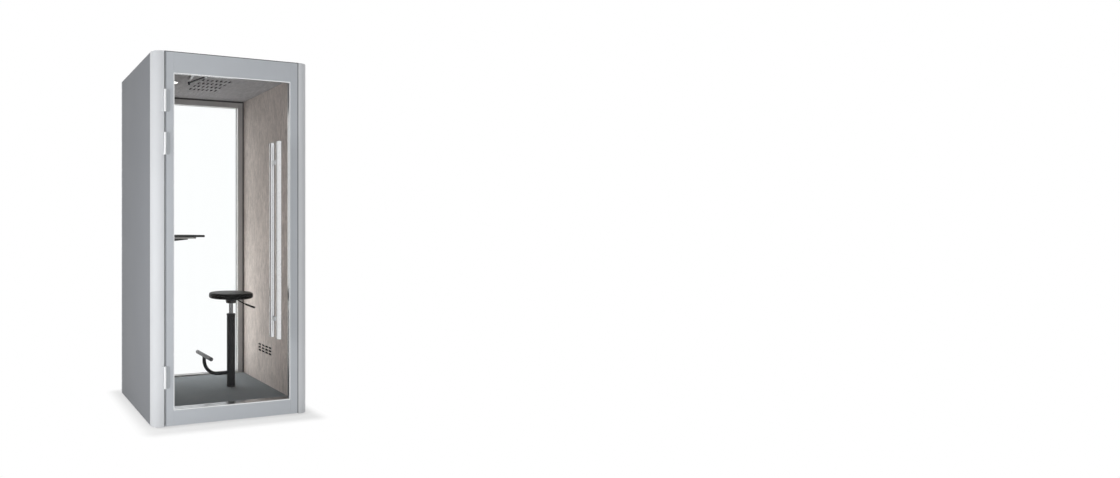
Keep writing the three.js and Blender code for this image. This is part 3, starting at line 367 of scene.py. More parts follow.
def turned(profile, centre, axis="z", steps=64, ring=False):
    """Surface of revolution: a profile of radius and place along the axis, turned about an axis
    through centre. With ring the profile's last point joins its first."""
    profile = np.asarray(profile, float)
    if ring:
        profile = np.concatenate([profile, profile[:1]])
    angle = np.linspace(0, 2 * np.pi, steps, endpoint=False)
    radius = profile[:, :1]
    along = np.repeat(profile[:, 1:], steps, 1)
    points = np.stack([radius * np.cos(angle), radius * np.sin(angle), along], -1)
    verts = points.reshape(-1, 3)[:, AXES[axis]] + np.asarray(centre)
    return verts, [grid_faces(len(profile), steps, wrap=True)]


def rounded_rod(radius, low, high, edge, steps=3):
    """Profile of a plain round bar from low to high, its end edges rounded by edge."""
    turn = np.linspace(0, np.pi / 2, steps + 1)
    lower = np.stack([radius - edge + edge * np.sin(turn), low + edge - edge * np.cos(turn)], -1)
    upper = lower[::-1] * [1, -1] + [0, low + high]
    return np.concatenate([[[0, low]], lower, upper, [[0, high]]])


black_rubber = finish_of("black_rubber", (24, 24, 25), 0.8)
mottle(black_rubber, 0.002, shade=0.15, gloss=0.08, relief=0.0001)
for end in ("front", "rear"):
    for side in ("left", "right"):
        low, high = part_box(f"foot_{end}_{side}")
        middle = (low[0] + high[0]) / 2, (low[1] + high[1]) / 2, 0
        radius = (high[0] - low[0]) / 2
        top = high[2]
        foot_profile = [
            (0, 0),
            (radius - 0.002, 0),
            (radius, 0.0015),
            (radius, 0.004),
            (radius - 0.0015, 0.0048),
            (radius - 0.006, 0.0055),
            (radius - 0.007, top),
            (0, top),
        ]
        foot = mesh_object(f"levelling_foot_{end}_{side}", *turned(foot_profile, middle), black_rubber)
        fit_piece(foot, "pod", "rubber", f"foot_{end}_{side}")


# Corner columns: aluminium angle profiles with a large round outer corner, lacquered in silver.
# They run the full height and stand a hair's breadth from the panels, which shows as a fine seam.
def outward(outline):
    """Mitre of each corner of an anticlockwise outline: the sum of the outward normals of its two
    edges, lengthened so that both edges move out by one."""
    along = np.roll(outline, -1, 0) - outline
    along /= np.linalg.norm(along, axis=1, keepdims=True)
    normal = np.stack([along[:, 1], -along[:, 0]], -1)
    mitre = normal + np.roll(normal, 1, 0)
    return mitre / (mitre * normal).sum(1, keepdims=True)


def filleted(corners, radius, steps=3):
    """Outline with each corner replaced by an arc of its radius. The arc's centre lies on the
    corner's bisector, radius over the sine of half the angle away; the outline runs anticlockwise."""
    corner = np.asarray(corners, float)
    radius = np.broadcast_to(np.asarray(radius, float), len(corner))[:, None]
    area = np.sum(corner[:, 0] * np.roll(corner[:, 1], -1) - np.roll(corner[:, 0], -1) * corner[:, 1])
    if area < 0:
        corner, radius = corner[::-1], radius[::-1]
    back = np.roll(corner, 1, 0) - corner
    back /= np.linalg.norm(back, axis=1, keepdims=True)
    ahead = np.roll(corner, -1, 0) - corner
    ahead /= np.linalg.norm(ahead, axis=1, keepdims=True)
    half = np.arccos(np.clip((back * ahead).sum(1, keepdims=True), -1, 1)) / 2
    bisector = back + ahead
    bisector /= np.linalg.norm(bisector, axis=1, keepdims=True)
    centre = corner + bisector * radius / np.sin(half)
    first = corner + back * radius / np.tan(half) - centre
    last = corner + ahead * radius / np.tan(half) - centre
    swing = np.pi - 2 * half
    step = np.linspace(0, 1, steps + 1)
    weight_first = np.sin((1 - step) * swing) / np.sin(swing)
    weight_last = np.sin(step * swing) / np.sin(swing)
    arc = centre[:, None] + weight_first[..., None] * first[:, None] + weight_last[..., None] * last[:, None]
    points = np.where(radius[..., None] > 0, arc, corner[:, None])
    flat = points.reshape(-1, 2)
    fresh = np.linalg.norm(flat - np.roll(flat, 1, 0), axis=1) > 1e-7
    return flat[fresh]


def prism(outline, low, high, axis="z", edge=0.001, steps=2):
    """Bar with one outline carried along an axis from low to high. At each end the outline is drawn
    in along a quarter circle of radius edge, so that the end edges are rounded."""
    turn = np.linspace(0, np.pi / 2, steps + 1)
    inset = edge * (1 - np.sin(turn))
    rise = edge * (1 - np.cos(turn))
    level = np.concatenate([low + rise, (high - rise)[::-1]])
    inset = np.concatenate([inset, inset[::-1]])
    rings = outline - inset[:, None, None] * outward(outline)
    points = np.concatenate([rings, np.broadcast_to(level[:, None, None], rings.shape[:2] + (1,))], -1)
    count = len(outline)
    verts = points.reshape(-1, 3)[:, AXES[axis]]
    floor_cap = np.arange(count)[::-1][None]
    roof_cap = (np.arange(count) + count * (len(level) - 1))[None]
    return verts, [grid_faces(len(level), count, wrap=True), floor_cap, roof_cap]


silver = finish_of("silver_lacquer", (208, 210, 213), 0.38, 0.35, Coat_Weight=0.15, Coat_Roughness=0.3)
mottle(silver, 0.0006, shade=0.05, gloss=0.05)
mottle(silver, 0.012, gloss=0.03, relief=0.00004)
mottle(silver, 0.35, shade=0.02, gloss=0.03)
CORNER = 0.056
LEG = 0.070
SKIN = 0.020
SEAM_EDGE = 0.002
pod_half = float(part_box("column_front_right")[1][0])
door_face = float(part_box("column_front_right")[0][1])
back_face = float(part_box("column_rear_right")[1][1])
pod_top = float(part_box("column_front_right")[1][2])
underside = float(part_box("column_front_right")[0][2])
column_corners = [(0, 0), (LEG, 0), (LEG, SKIN), (SKIN, SKIN), (SKIN, LEG), (0, LEG)]
column_radii = [CORNER, SEAM_EDGE, SEAM_EDGE, CORNER - SKIN, SEAM_EDGE, SEAM_EDGE]
for end, origin_y, inward_y in (("front", door_face, 1), ("rear", back_face, -1)):
    for side, hand in (("left", -1), ("right", 1)):
        corners = np.array(column_corners) * [-hand, inward_y] + [hand * pod_half, origin_y]
        outline = filleted(corners, column_radii, 14)
        column = mesh_object(
            f"corner_column_{end}_{side}",
            *prism(outline, underside, pod_top, edge=0.0015),
            silver,
        )
        fit_piece(column, "pod", "silver_profile", f"column_{end}_{side}")

# Side panels: laminated boards in mid grey between the columns, with eased edges that leave a fine
# dark groove beside each column.
laminate = finish_of("grey_laminate", (128, 130, 134), 0.55, Specular_IOR_Level=0.12)
mottle(laminate, 0.0012, shade=0.04, gloss=0.05, relief=0.00003)
mottle(laminate, 0.4, shade=0.025, gloss=0.04)


def box_outline(low, high, first, second):
    """Four corners of a box's outline on two of its axes."""
    return [
        (low[first], low[second]),
        (high[first], low[second]),
        (high[first], high[second]),
        (low[first], high[second]),
    ]


for side in ("left", "right"):
    low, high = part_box(f"side_panel_{side}")
    outline = filleted(box_outline(low, high, 0, 1), SEAM_EDGE)
    panel = mesh_object(f"outer_panel_{side}", *prism(outline, low[2], high[2], edge=0.0015), laminate)
    fit_piece(panel, "pod", "grey_panel", f"side_panel_{side}")

# Roof: a dark laminated board let in between columns and panels, with outlet slots towards the back
# and a thin lip over the door, which shows as a dark line along the top.
dark_laminate = finish_of("dark_laminate", (74, 75, 78), 0.5)
mottle(dark_laminate, 0.0012, shade=0.06, gloss=0.05, relief=0.00003)
mottle(dark_laminate, 0.4, shade=0.03, gloss=0.04)
wear_finish(dark_laminate, "roof_panel")

# Seam strips: black strips in the rubber finish beside the door on both front columns paint the shade
# in the seams, so that the seams stay dark.
door_low, door_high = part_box("door_stile_lock")
STRIP = 0.003
for side, hand in (("left", -1), ("right", 1)):
    leg_x = hand * (pod_half - LEG)
    strip_low = (min(leg_x, leg_x - hand * STRIP), door_face + 0.0016)
    strip_high = (max(leg_x, leg_x - hand * STRIP), door_face + SKIN - 0.001)
    strip_outline = filleted(box_outline(strip_low, strip_high, 0, 1), 0.0008)
    strip = mesh_object(
        f"seam_shade_strip_{side}",
        *prism(strip_outline, float(door_low[2]), float(door_high[2]), edge=0.0005),
        black_rubber,
    )
    fit_piece(strip, "pod", "rubber")

# Inner linings: pressed felt boards, warm grey on both side walls; on the ceiling the felt is drawn
# darker and cooler, as painted shade and cool light. Ventilation slots are routed through them, with
# soft edges; behind the slots it is dark, and their insides are painted black as shade.
def felt_finish(name, colour, streak):
    """Pressed felt: fine fibres, and heathered streaks drawn out along the board as streak says."""
    mat = finish_of(name, colour, 0.95, Sheen_Weight=0.2, Sheen_Roughness=0.6)
    mottle(mat, 0.0011, shade=0.18, relief=0.00025, detail=5)
    mottle(mat, 0.005, shade=0.20, stretch=streak, detail=4)
    mottle(mat, 0.014, shade=0.20, stretch=streak, detail=4)
    mottle(mat, 0.12, shade=0.04)
    return mat


felt = felt_finish("warm_grey_felt", (206, 195, 188), (1, 1, 5))
# Painted shade: the ceiling's felt is darker and cooler than the walls' felt, for the shade and the cool light under
# the roof.
painted_shade_felt = felt_finish("ceiling_felt_painted_shade", (158, 156, 158), (1, 5, 1))
# Inside the felt's slots the faces are painted black as shade, in the finish of the black mouldings;
# the filling of the walls behind the slots is black too.
moulding_and_slot_shade = finish_of("black_moulding_and_slot_shade", (20, 20, 22), 0.55, Specular_IOR_Level=0.25)
mottle(moulding_and_slot_shade, 0.0015, shade=0.1, gloss=0.08, relief=0.00004)


def paint_slot_shade(piece, mat, depth_axis, level):
    """Second finish, painted shade, for the faces of a board that lie deeper than a level along an axis."""
    piece.data.materials.append(mat)
    middles = np.empty(3 * len(piece.data.polygons))
    piece.data.polygons.foreach_get("center", middles)
    deep = np.abs(middles.reshape(-1, 3)[:, depth_axis]) > level
    piece.data.polygons.foreach_set("material_index", deep.astype(np.int32))


def slot_edge(direction, half_length, radius):
    """Points of a round-ended slot, long on its second axis, where rays from its middle meet it: on
    the straight side, or else on the end circle."""
    unit = direction / np.linalg.norm(direction, axis=-1, keepdims=True)
    across = np.abs(unit[..., 0])
    along = np.abs(unit[..., 1])
    straight = half_length - radius
    to_side = radius / np.maximum(across, 1e-9)
    to_end = straight * along + np.sqrt(np.maximum(radius**2 - (straight * across) ** 2, 0))
    reach = np.where(to_side * along <= straight, to_side, to_end)
    return unit * reach[..., None]


def pierced_board(size, cells, thickness, edge=0.0015, parts=8):
    """Board in its own plane, from (0, 0) to size, face at 0 and back at -thickness. Each cell is
    (low corner, high corner, half length, radius, turned) and holds one routed slot. The face is a
    grid whose lines pass all cell edges; inside a cell, rings of points run from the cell's edge to
    the slot's edge, round it and down through the board."""
    cells = [[np.asarray(c[0], float), np.asarray(c[1], float), *c[2:]] for c in cells]
    share = np.linspace(0, 1, parts + 1)
    lines = []
    for axis in (0, 1):
        marks = [[edge, size[axis] - edge]]
        marks += [c[0][axis] + share * (c[1][axis] - c[0][axis]) for c in cells]
        lines.append(np.unique(np.round(np.concatenate(marks), 7)))
    u, v = np.meshgrid(*lines, indexing="ij")
    face_points = np.stack([u, v, np.zeros_like(u)], -1)
    faces = grid_faces(*u.shape)
    centre = face_points.reshape(-1, 3)[faces].mean(1)[:, :2]
    lows = np.array([c[0] for c in cells])
    highs = np.array([c[1] for c in cells])
    inside = ((centre[:, None] > lows) & (centre[:, None] < highs)).all(-1).any(-1)
    verts = [face_points.reshape(-1, 3)]
    groups = [faces[~inside]]
    total = u.size
    square = np.concatenate(
        [
            np.stack([share[:-1], 0 * share[:-1]], -1),
            np.stack([0 * share[:-1] + 1, share[:-1]], -1),
            np.stack([1 - share[:-1], 0 * share[:-1] + 1], -1),
            np.stack([0 * share[:-1], 1 - share[:-1]], -1),
        ]
    )
    turn = np.linspace(0, np.pi / 2, 4)
    for low, high, half_length, radius, sideways in cells:
        around = low + square * (high - low)
        middle = (low + high) / 2
        ray = around - middle
        ray = ray[:, ::-1] if sideways else ray
        grow = edge * (1 - np.sin(turn))
        drop = edge * (1 - np.cos(turn))
        rings = [np.concatenate([around, np.zeros((len(around), 1))], 1)]
        for wider, deeper in [*zip(grow, drop), (0, thickness)]:
            rim = slot_edge(ray, half_length + wider, radius + wider)
            rim = (rim[:, ::-1] if sideways else rim) + middle
            rings.append(np.concatenate([rim, np.full((len(rim), 1), -deeper)], 1))
        verts.append(np.concatenate(rings))
        groups.append(grid_faces(len(rings), len(around), wrap=True) + total)
        total += len(rings) * len(around)
    bound_u, bound_v = lines
    loop = np.concatenate(
        [
            np.stack([bound_u[:-1], np.full(len(bound_u) - 1, bound_v[0])], -1),
            np.stack([np.full(len(bound_v) - 1, bound_u[-1]), bound_v[:-1]], -1),
            np.stack([bound_u[:0:-1], np.full(len(bound_u) - 1, bound_v[-1])], -1),
            np.stack([np.full(len(bound_v) - 1, bound_u[0]), bound_v[:0:-1]], -1),
        ]
    )
    push = np.sign(loop - np.asarray(size) / 2) * (
        (np.abs(loop - np.asarray(size) / 2) > np.asarray(size) / 2 - edge * 1.01)
    )
    rings = []
    for step, deeper in [*zip(edge * np.sin(turn), edge * (1 - np.cos(turn))), (edge, thickness)]:
        rings.append(np.concatenate([loop + push * step, np.full((len(loop), 1), -deeper)], 1))
    verts.append(np.concatenate(rings))
    groups.append(grid_faces(len(rings), len(loop), wrap=True) + total)
    return np.concatenate(verts), groups


def slot_cells(middle, columns, rows, pitch, half_length, radius, sideways):
    """Cells of a regular group of slots about a middle point."""
    i, j = np.meshgrid(np.arange(columns), np.arange(rows), indexing="ij")
    order = np.stack([i.ravel() - (columns - 1) / 2, j.ravel() - (rows - 1) / 2], -1)
    centres = np.asarray(middle) + order * pitch
    half = np.asarray(pitch) / 2
    return [(c - half, c + half, half_length, radius, sideways) for c in centres]


wall_front, wall_low = float(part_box("wall_felt_left")[0][1]), float(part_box("wall_felt_left")[0][2])
wall_back, wall_high = float(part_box("wall_felt_left")[1][1]), float(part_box("wall_felt_left")[1][2])
cabin_middle = float(np.mean([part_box("stool_column")[0][1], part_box("stool_column")[1][1]]))
FELT_BOARD = 0.012
VENT_Z = 0.334
VENT_PITCH = (0.059, 0.0205)
VENT_HALF_LENGTH = 0.023
VENT_RADIUS = 0.006
vents = slot_cells(
    (cabin_middle - wall_front, VENT_Z - wall_low), 4, 3, VENT_PITCH, VENT_HALF_LENGTH, VENT_RADIUS, True
)
wall_size = (wall_back - wall_front, wall_high - wall_low)
wall_points, wall_faces = pierced_board(wall_size, vents, FELT_BOARD)
for side, hand in (("left", -1), ("right", 1)):
    face_x = hand * float(np.abs(np.array(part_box(f"wall_felt_{side}"))[:, 0]).min())
    verts = np.stack(
        [
            face_x - hand * wall_points[:, 2],
            wall_front + wall_points[:, 0],
            wall_low + wall_points[:, 1],
        ],
        -1,
    )
    lining = mesh_object(f"felt_wall_{side}", verts, wall_faces, felt)
    paint_slot_shade(lining, moulding_and_slot_shade, 0, abs(face_x) + 0.002)
    fit_piece(lining, "pod", "felt", f"wall_felt_{side}")

ceiling_low, ceiling_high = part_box("ceiling_felt")
ceiling_z = float(ceiling_low[2])
ceiling_size = (float(ceiling_high[0] - ceiling_low[0]), float(ceiling_high[1] - ceiling_low[1]))
ceiling_origin = np.array([ceiling_low[0], ceiling_low[1]], float)
fan_low, fan_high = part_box("fan_housing")
fan_middle = np.array([(fan_low[0] + fan_high[0]) / 2, (fan_low[1] + fan_high[1]) / 2])
lens_low, lens_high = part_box("lamp_lens")
lamp_middle = np.array([(lens_low[0] + lens_high[0]) / 2, (lens_low[1] + lens_high[1]) / 2])
LAMP_HOLE = 0.0325
lamp_cell = lamp_middle - ceiling_origin
grille = slot_cells(fan_middle - ceiling_origin, 7, 4, (0.030, 0.096), 0.025, 0.006, False)
grille.append((lamp_cell - 0.05, lamp_cell + 0.05, LAMP_HOLE, LAMP_HOLE - 1e-6, False))
board_points, board_faces = pierced_board(ceiling_size, grille, FELT_BOARD)
ceiling_verts = np.stack(
    [
        ceiling_origin[0] + board_points[:, 0],
        ceiling_origin[1] + board_points[:, 1],
        ceiling_z - board_points[:, 2],
    ],
    -1,
)
ceiling = mesh_object("felt_ceiling", ceiling_verts, board_faces, painted_shade_felt)
paint_slot_shade(ceiling, moulding_and_slot_shade, 2, ceiling_z + 0.002)
fit_piece(ceiling, "pod", "felt", "ceiling_felt")
wear_finish(painted_shade_felt, "front_header")

# Fan over the grille: black moulded housing and rotor, only glimpsed through the slots.
wear_finish(moulding_and_slot_shade, "fan_housing", "fan_rotor", "closer_body")

# Ceiling lamp: a flat spun aluminium ring under the felt, with a frosted lens that glows warm white.
spun = finish_of("spun_aluminium", (150, 151, 153), 0.4, 0.9)
mottle(spun, 0.0008, shade=0.04, gloss=0.08)
lamp_low, lamp_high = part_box("lamp_housing")
lamp_radius = float(lamp_high[0] - lamp_low[0]) / 2
lamp_mouth = float(lamp_low[2])
lens_radius = float(lens_high[0] - lens_low[0]) / 2
ring_profile = [
    (lens_radius + 0.0003, lamp_mouth + 0.0045),
    (lens_radius + 0.0003, lamp_mouth + 0.0012),
    (lens_radius + 0.0012, lamp_mouth + 0.0002),
    (lens_radius + 0.0025, lamp_mouth),
    (lamp_radius - 0.004, lamp_mouth + 0.0006),
    (lamp_radius - 0.0015, lamp_mouth + 0.0018),
    (lamp_radius, lamp_mouth + 0.0042),
    (lamp_radius, ceiling_z - 0.0002),
    (LAMP_HOLE - 0.0006, ceiling_z - 0.0002),
    (LAMP_HOLE - 0.0006, lamp_high[2]),
    (0, lamp_high[2]),
    (0, lamp_mouth + 0.0045),
]
lamp_centre = (*lamp_middle, 0)
lamp_ring = mesh_object("lamp_ring", *turned(ring_profile, lamp_centre), spun)
fit_piece(lamp_ring, "pod", "light_metal", "lamp_housing")
frosted = finish_of(
    "glowing_lens", (255, 246, 230), 0.4, Emission_Color=(1.0, 0.97, 0.93, 1), Emission_Strength=2.5
)
mottle(frosted, 0.002, shade=0.03, relief=0.00005)
lens_share = np.linspace(0, 1, 12)
lens_profile = np.concatenate(
    [
        np.stack([lens_radius * lens_share, lamp_mouth + 0.0008 + 0.0012 * lens_share**2], -1),
        [[lens_radius, lamp_mouth + 0.004], [0, lamp_mouth + 0.004]],
    ]
)
lens = mesh_object("lamp_glow", *turned(lens_profile, lamp_centre), frosted)
fit_piece(lens, "pod", "lamp_lens", "lamp_lens")

# Rear window: anodised frame members with one fixed pane in their grooves. A bright metal lining
# covers the reveal in front of the pane, a grey bead lies against the glass, and dark grey strips
# paint the shadow in the gap between the frame and the felt, and under the ceiling's back edge.
anodised = finish_of("grey_anodised", (204, 203, 202), 0.45, 0.1)
mottle(anodised, 0.0008, shade=0.06, gloss=0.05, stretch=(1, 1, 8))
mottle(anodised, 0.3, shade=0.04)
REAR_FRAME = ("rear_stile_left", "rear_stile_right", "rear_rail_top", "rear_rail_bottom")
wear_finish(anodised, *REAR_FRAME)
soften(0.001, *REAR_FRAME)
wear_finish(black_rubber, "cable_gland")


def frame_ring(low, high, section):
    """Profile carried round a rectangular opening in an upright plane, mitred at its four corners.
    The section's points are a distance inwards from the opening's edge and a depth."""
    outer = np.array([[low[0], low[1]], [high[0], low[1]], [high[0], high[1]], [low[0], high[1]]])
    inwards = np.array([[1, 1], [-1, 1], [-1, -1], [1, -1]])
    rings = []
    for inset, depth in [*section, section[0]]:
        corner = outer + inwards * inset
        rings.append(np.stack([corner[:, 0], np.full(4, depth), corner[:, 1]], -1))
    return np.concatenate(rings), [grid_faces(len(rings), 4, wrap=True)]


def strip_section(first, last, front, back):
    """Plain four-sided section of a strip between two insets and two depths."""
    return [(first, back), (first, front), (last, front), (last, back)]


bright_lining = finish_of("bright_lining", (240, 240, 239), 0.2, 1.0)
mottle(bright_lining, 0.0008, shade=0.04, gloss=0.05)
rear_face = float(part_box("rear_stile_left")[0][1])
rear_pane_front = float(rear_pane[0][1])
rear_opening_low = (float(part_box("rear_stile_left")[1][0]), float(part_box("rear_rail_bottom")[1][2]))
rear_opening_high = (float(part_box("rear_stile_right")[0][0]), float(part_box("rear_rail_top")[0][2]))
GASKET_HEIGHT = 0.0026
GASKET_DEPTH = 0.004
gasket_front = rear_pane_front - GASKET_DEPTH
rear_lining = mesh_object(
    "rear_reveal_lining",
    *frame_ring(
        rear_opening_low,
        rear_opening_high,
        strip_section(0.0002, 0.0020, rear_face + 0.0012, gasket_front - 0.0002),
    ),
    bright_lining,
)
fit_piece(rear_lining, "pod", "light_metal")
rear_gasket = mesh_object(
    "rear_glazing_gasket",
    *frame_ring(
        rear_opening_low,
        rear_opening_high,
        strip_section(0.0002, GASKET_HEIGHT, gasket_front, rear_pane_front - 0.0002),
    ),
    anodised,
)
fit_piece(rear_gasket, "pod", "light_metal")
# Painted shadow: these dark strips stand in for the shadow in the gaps along the felt and the ceiling.
gap_shadow_grey = finish_of("painted_gap_shadow", (92, 91, 93), 0.8)
mottle(gap_shadow_grey, 0.002, shade=0.12, gloss=0.06, relief=0.0001)
SHADOW_STRIP = 0.008
CEILING_GAP = 0.018
strip_reach = float(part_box("wall_felt_right")[0][0]) - 0.0002
rear_strip = mesh_object(
    "rear_shadow_strip",
    *frame_ring(
        (-strip_reach, float(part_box("rear_rail_bottom")[0][2])),
        (strip_reach, ceiling_z - 0.0002),
        strip_section(0, SHADOW_STRIP, rear_face - 0.0012, rear_face - 0.0001),
    ),
    gap_shadow_grey,
)
fit_piece(rear_strip, "pod", "rubber")
gap_outline = box_outline(
    (-strip_reach, rear_face - CEILING_GAP), (strip_reach, rear_face - 0.0014), 0, 1
)
gap_strip = mesh_object(
    "ceiling_shadow_strip",
    *prism(filleted(gap_outline, 0.0002), ceiling_z - 0.0008, ceiling_z - 0.0001, edge=0.0002),
    gap_shadow_grey,
)
fit_piece(gap_strip, "pod", "rubber")


def clear_glass(name, tint, passing):
    """Clear pane: a smooth shader tinted for the eye, with lamp light passed straight in the passing
    colour so that the cabin behind it is lit, and a trace of smear in its gloss."""
    mat = finish_of(name, tint, 0.01, Transmission_Weight=1.0, IOR=1.12)
    mottle(mat, 0.25, gloss=0.008)
    tree = mat.node_tree
    path = tree.nodes.new("ShaderNodeLightPath")
    open_air = tree.nodes.new("ShaderNodeBsdfTransparent")
    open_air.inputs["Color"].default_value = (*linear(*passing), 1)
    passed = blend_shaders(
        tree,
        path.outputs["Is Shadow Ray"],
        tree.nodes["Principled BSDF"].outputs[0],
        open_air.outputs[0],
    )
    tree.links.new(passed, tree.nodes["Material Output"].inputs["Surface"])
    return mat


CLEAR = (254, 255, 255)
wear_finish(clear_glass("clear_pane", CLEAR, CLEAR), "rear_glass")
wear_finish(clear_glass("coated_pane", CLEAR, (175, 175, 177)), "door_glass")

# Floor inside: a polished aluminium threshold behind the door and a dark loop carpet that lies on
# the platform up to the window.
polished = finish_of("polished_aluminium", (172, 174, 177), 0.24, 1.0)
mottle(polished, 0.0006, gloss=0.05, stretch=(30, 1, 1))
mottle(polished, 0.1, shade=0.03, gloss=0.03)
wear_finish(polished, "threshold")
soften(0.0015, "threshold")

carpet_low, carpet_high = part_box("carpet")
PILE_STEP = 0.0036
LOOP_HEIGHT = 0.0011
carpet_x = np.arange(carpet_low[0], carpet_high[0], PILE_STEP)
carpet_y = np.arange(carpet_low[1], carpet_high[1], PILE_STEP)
pile_x, pile_y = np.meshgrid(carpet_x, carpet_y, indexing="ij")
draw = np.random.default_rng(7)
loops = draw.random(pile_x.shape)
even = (np.arange(pile_x.shape[0])[:, None] + np.arange(pile_x.shape[1])) % 2
pile = LOOP_HEIGHT * (0.55 * even + 0.45 * loops - 1)
carpet_points = np.stack([pile_x, pile_y, float(carpet_high[2]) + pile], -1).reshape(-1, 3)
carpet_points[:, :2] += (draw.random((len(carpet_points), 2)) - 0.5) * PILE_STEP * 0.35
carpet_points[:, 0] = np.clip(carpet_points[:, 0], carpet_low[0], carpet_high[0])
carpet_points[:, 1] = np.clip(carpet_points[:, 1], carpet_low[1], carpet_high[1])
carpet_faces = grid_faces(*pile_x.shape)
stool_low, stool_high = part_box("stool_column")
stool_middle = np.array([(stool_low[0] + stool_high[0]) / 2, (stool_low[1] + stool_high[1]) / 2])
column_radius = float(stool_high[0] - stool_low[0]) / 2
reach = np.linalg.norm(carpet_points[carpet_faces].mean(1)[:, :2] - stool_middle, axis=1)
loop_pile = finish_of("loop_carpet", (116, 121, 124), 0.95, Sheen_Weight=0.1)
mottle(loop_pile, 0.0045, shade=0.35, cells=True, relief=0.0006)
mottle(loop_pile, 0.0012, shade=0.25, relief=0.0003)
mottle(loop_pile, 0.02, shade=0.14)
mottle(loop_pile, 0.12, shade=0.06)
carpet = mesh_object(
    "loop_pile_carpet",
    carpet_points,
    [carpet_faces[reach > column_radius - 0.003]],
    loop_pile,
    sharp=180,
    closed=False,
)
fit_piece(carpet, "pod", "carpet", "carpet")

# Wall table: a black laminated top on a light metal plate, carried by a black bracket whose two webs
# taper away from the wall.
black_laminate = finish_of("black_laminate", (24, 24, 25), 0.4)
mottle(black_laminate, 0.0009, shade=0.18, gloss=0.1, relief=0.00004)
top_low, top_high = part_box("table_top")
TABLE_CORNER = 0.035
TABLE_EDGE = 0.002
table_outline = filleted(
    box_outline(top_low, top_high, 0, 1), [TABLE_EDGE, TABLE_CORNER, TABLE_CORNER, TABLE_EDGE], 10
)
table = mesh_object(
    "table_board",
    *prism(table_outline, top_low[2], top_high[2], edge=TABLE_EDGE, steps=3),
    black_laminate,
)
fit_piece(table, "pod", "table_laminate", "table_top")
satin_metal = finish_of("satin_aluminium", (178, 176, 172), 0.4, 0.5)
mottle(satin_metal, 0.0006, shade=0.05, gloss=0.08, stretch=(1, 12, 1))
wear_finish(satin_metal, "table_plate")
soften(0.0008, "table_plate")
powder_black = finish_of("black_powder_coat", (56, 57, 59), 0.42, Specular_IOR_Level=0.3)
mottle(powder_black, 0.0007, shade=0.12, gloss=0.1, relief=0.00005)
wear_finish(powder_black, "table_bracket")
soften(0.0008, "table_bracket")

# Stool: a black steel column set into the floor, a chromed gas rod, a hub with its plate, and a
# round black seat pad. The rod slides in the column and the seat turns on it.
column_top = float(stool_high[2])
stool_centre = (*stool_middle, 0)
column_profile = [
    (0.0146, float(stool_low[2])),
    (column_radius, float(stool_low[2])),
    (column_radius, column_top - 0.014),
    (column_radius + 0.0012, column_top - 0.0135),
    (column_radius + 0.0015, column_top - 0.012),
    (column_radius + 0.0015, column_top - 0.004),
    (column_radius + 0.0003, column_top - 0.0012),
    (column_radius - 0.003, column_top),
    (0.0165, column_top),
    (0.0146, column_top - 0.0015),
]
stool_column = mesh_object("stool_post", *turned(column_profile, stool_centre, steps=72, ring=True), powder_black)
fit_piece(stool_column, "pod", "black_metal", "stool_column")
chrome = finish_of("dark_chrome", (140, 141, 143), 0.1, 1.0)
mottle(chrome, 0.05, gloss=0.02)
rod_low, rod_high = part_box("stool_gas_rod")
rod_radius = float(rod_high[0] - rod_low[0]) / 2
rod_profile = rounded_rod(rod_radius, float(rod_low[2]), float(rod_high[2]), 0.001)
rod = mesh_object("gas_rod", *turned(rod_profile, stool_centre), chrome)
fit_piece(rod, "stool_lift", "chrome", "stool_gas_rod")

plate_low, plate_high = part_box("stool_seat_plate")
hub_bottom, plate_top = float(plate_low[2]), float(plate_high[2])
plate_radius = float(plate_high[0] - plate_low[0]) / 2
HUB_RADIUS = 0.036
hub_profile = [
    (0.0143, hub_bottom),
    (0.0312, hub_bottom),
    (0.033, hub_bottom + 0.0015),
    (HUB_RADIUS - 0.0004, hub_bottom + 0.013),
    (HUB_RADIUS, hub_bottom + 0.0155),
    (HUB_RADIUS, plate_top - 0.0055),
    (HUB_RADIUS + 0.002, plate_top - 0.0033),
    (plate_radius - 0.001, plate_top - 0.003),
    (plate_radius, plate_top - 0.002),
    (plate_radius, plate_top - 0.0005),
    (plate_radius - 0.0005, plate_top),
    (0, plate_top),
    (0, float(rod_high[2]) + 0.0003),
    (0.0143, float(rod_high[2]) + 0.0003),
]
hub = mesh_object("seat_hub", *turned(hub_profile, stool_centre, steps=72, ring=True), powder_black)
fit_piece(hub, "stool_seat", "black_metal", "stool_seat_plate")
BARREL_RADIUS = 0.006
pivot_z = float(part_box("stool_lever")[1][2]) - BARREL_RADIUS
pivot = np.array([stool_middle[0] + 0.044, stool_middle[1], pivot_z])
for hand, name in ((-1, "front"), (1, "rear")):
    lug_outline = filleted(
        [
            (pivot[0] - 0.007, pivot[2] - 0.007),
            (pivot[0] + 0.007, pivot[2] - 0.007),
            (pivot[0] + 0.007, plate_top - 0.0031),
            (pivot[0] - 0.007, plate_top - 0.0031),
        ],
        [0.005, 0.005, 0.0005, 0.0005],
    )
    lug_y = sorted([pivot[1] + hand * 0.0074, pivot[1] + hand * 0.0109])
    lug = mesh_object(f"lever_lug_{name}", *prism(lug_outline, *lug_y, axis="y", edge=0.0005), powder_black)
    fit_piece(lug, "stool_seat", "black_metal")


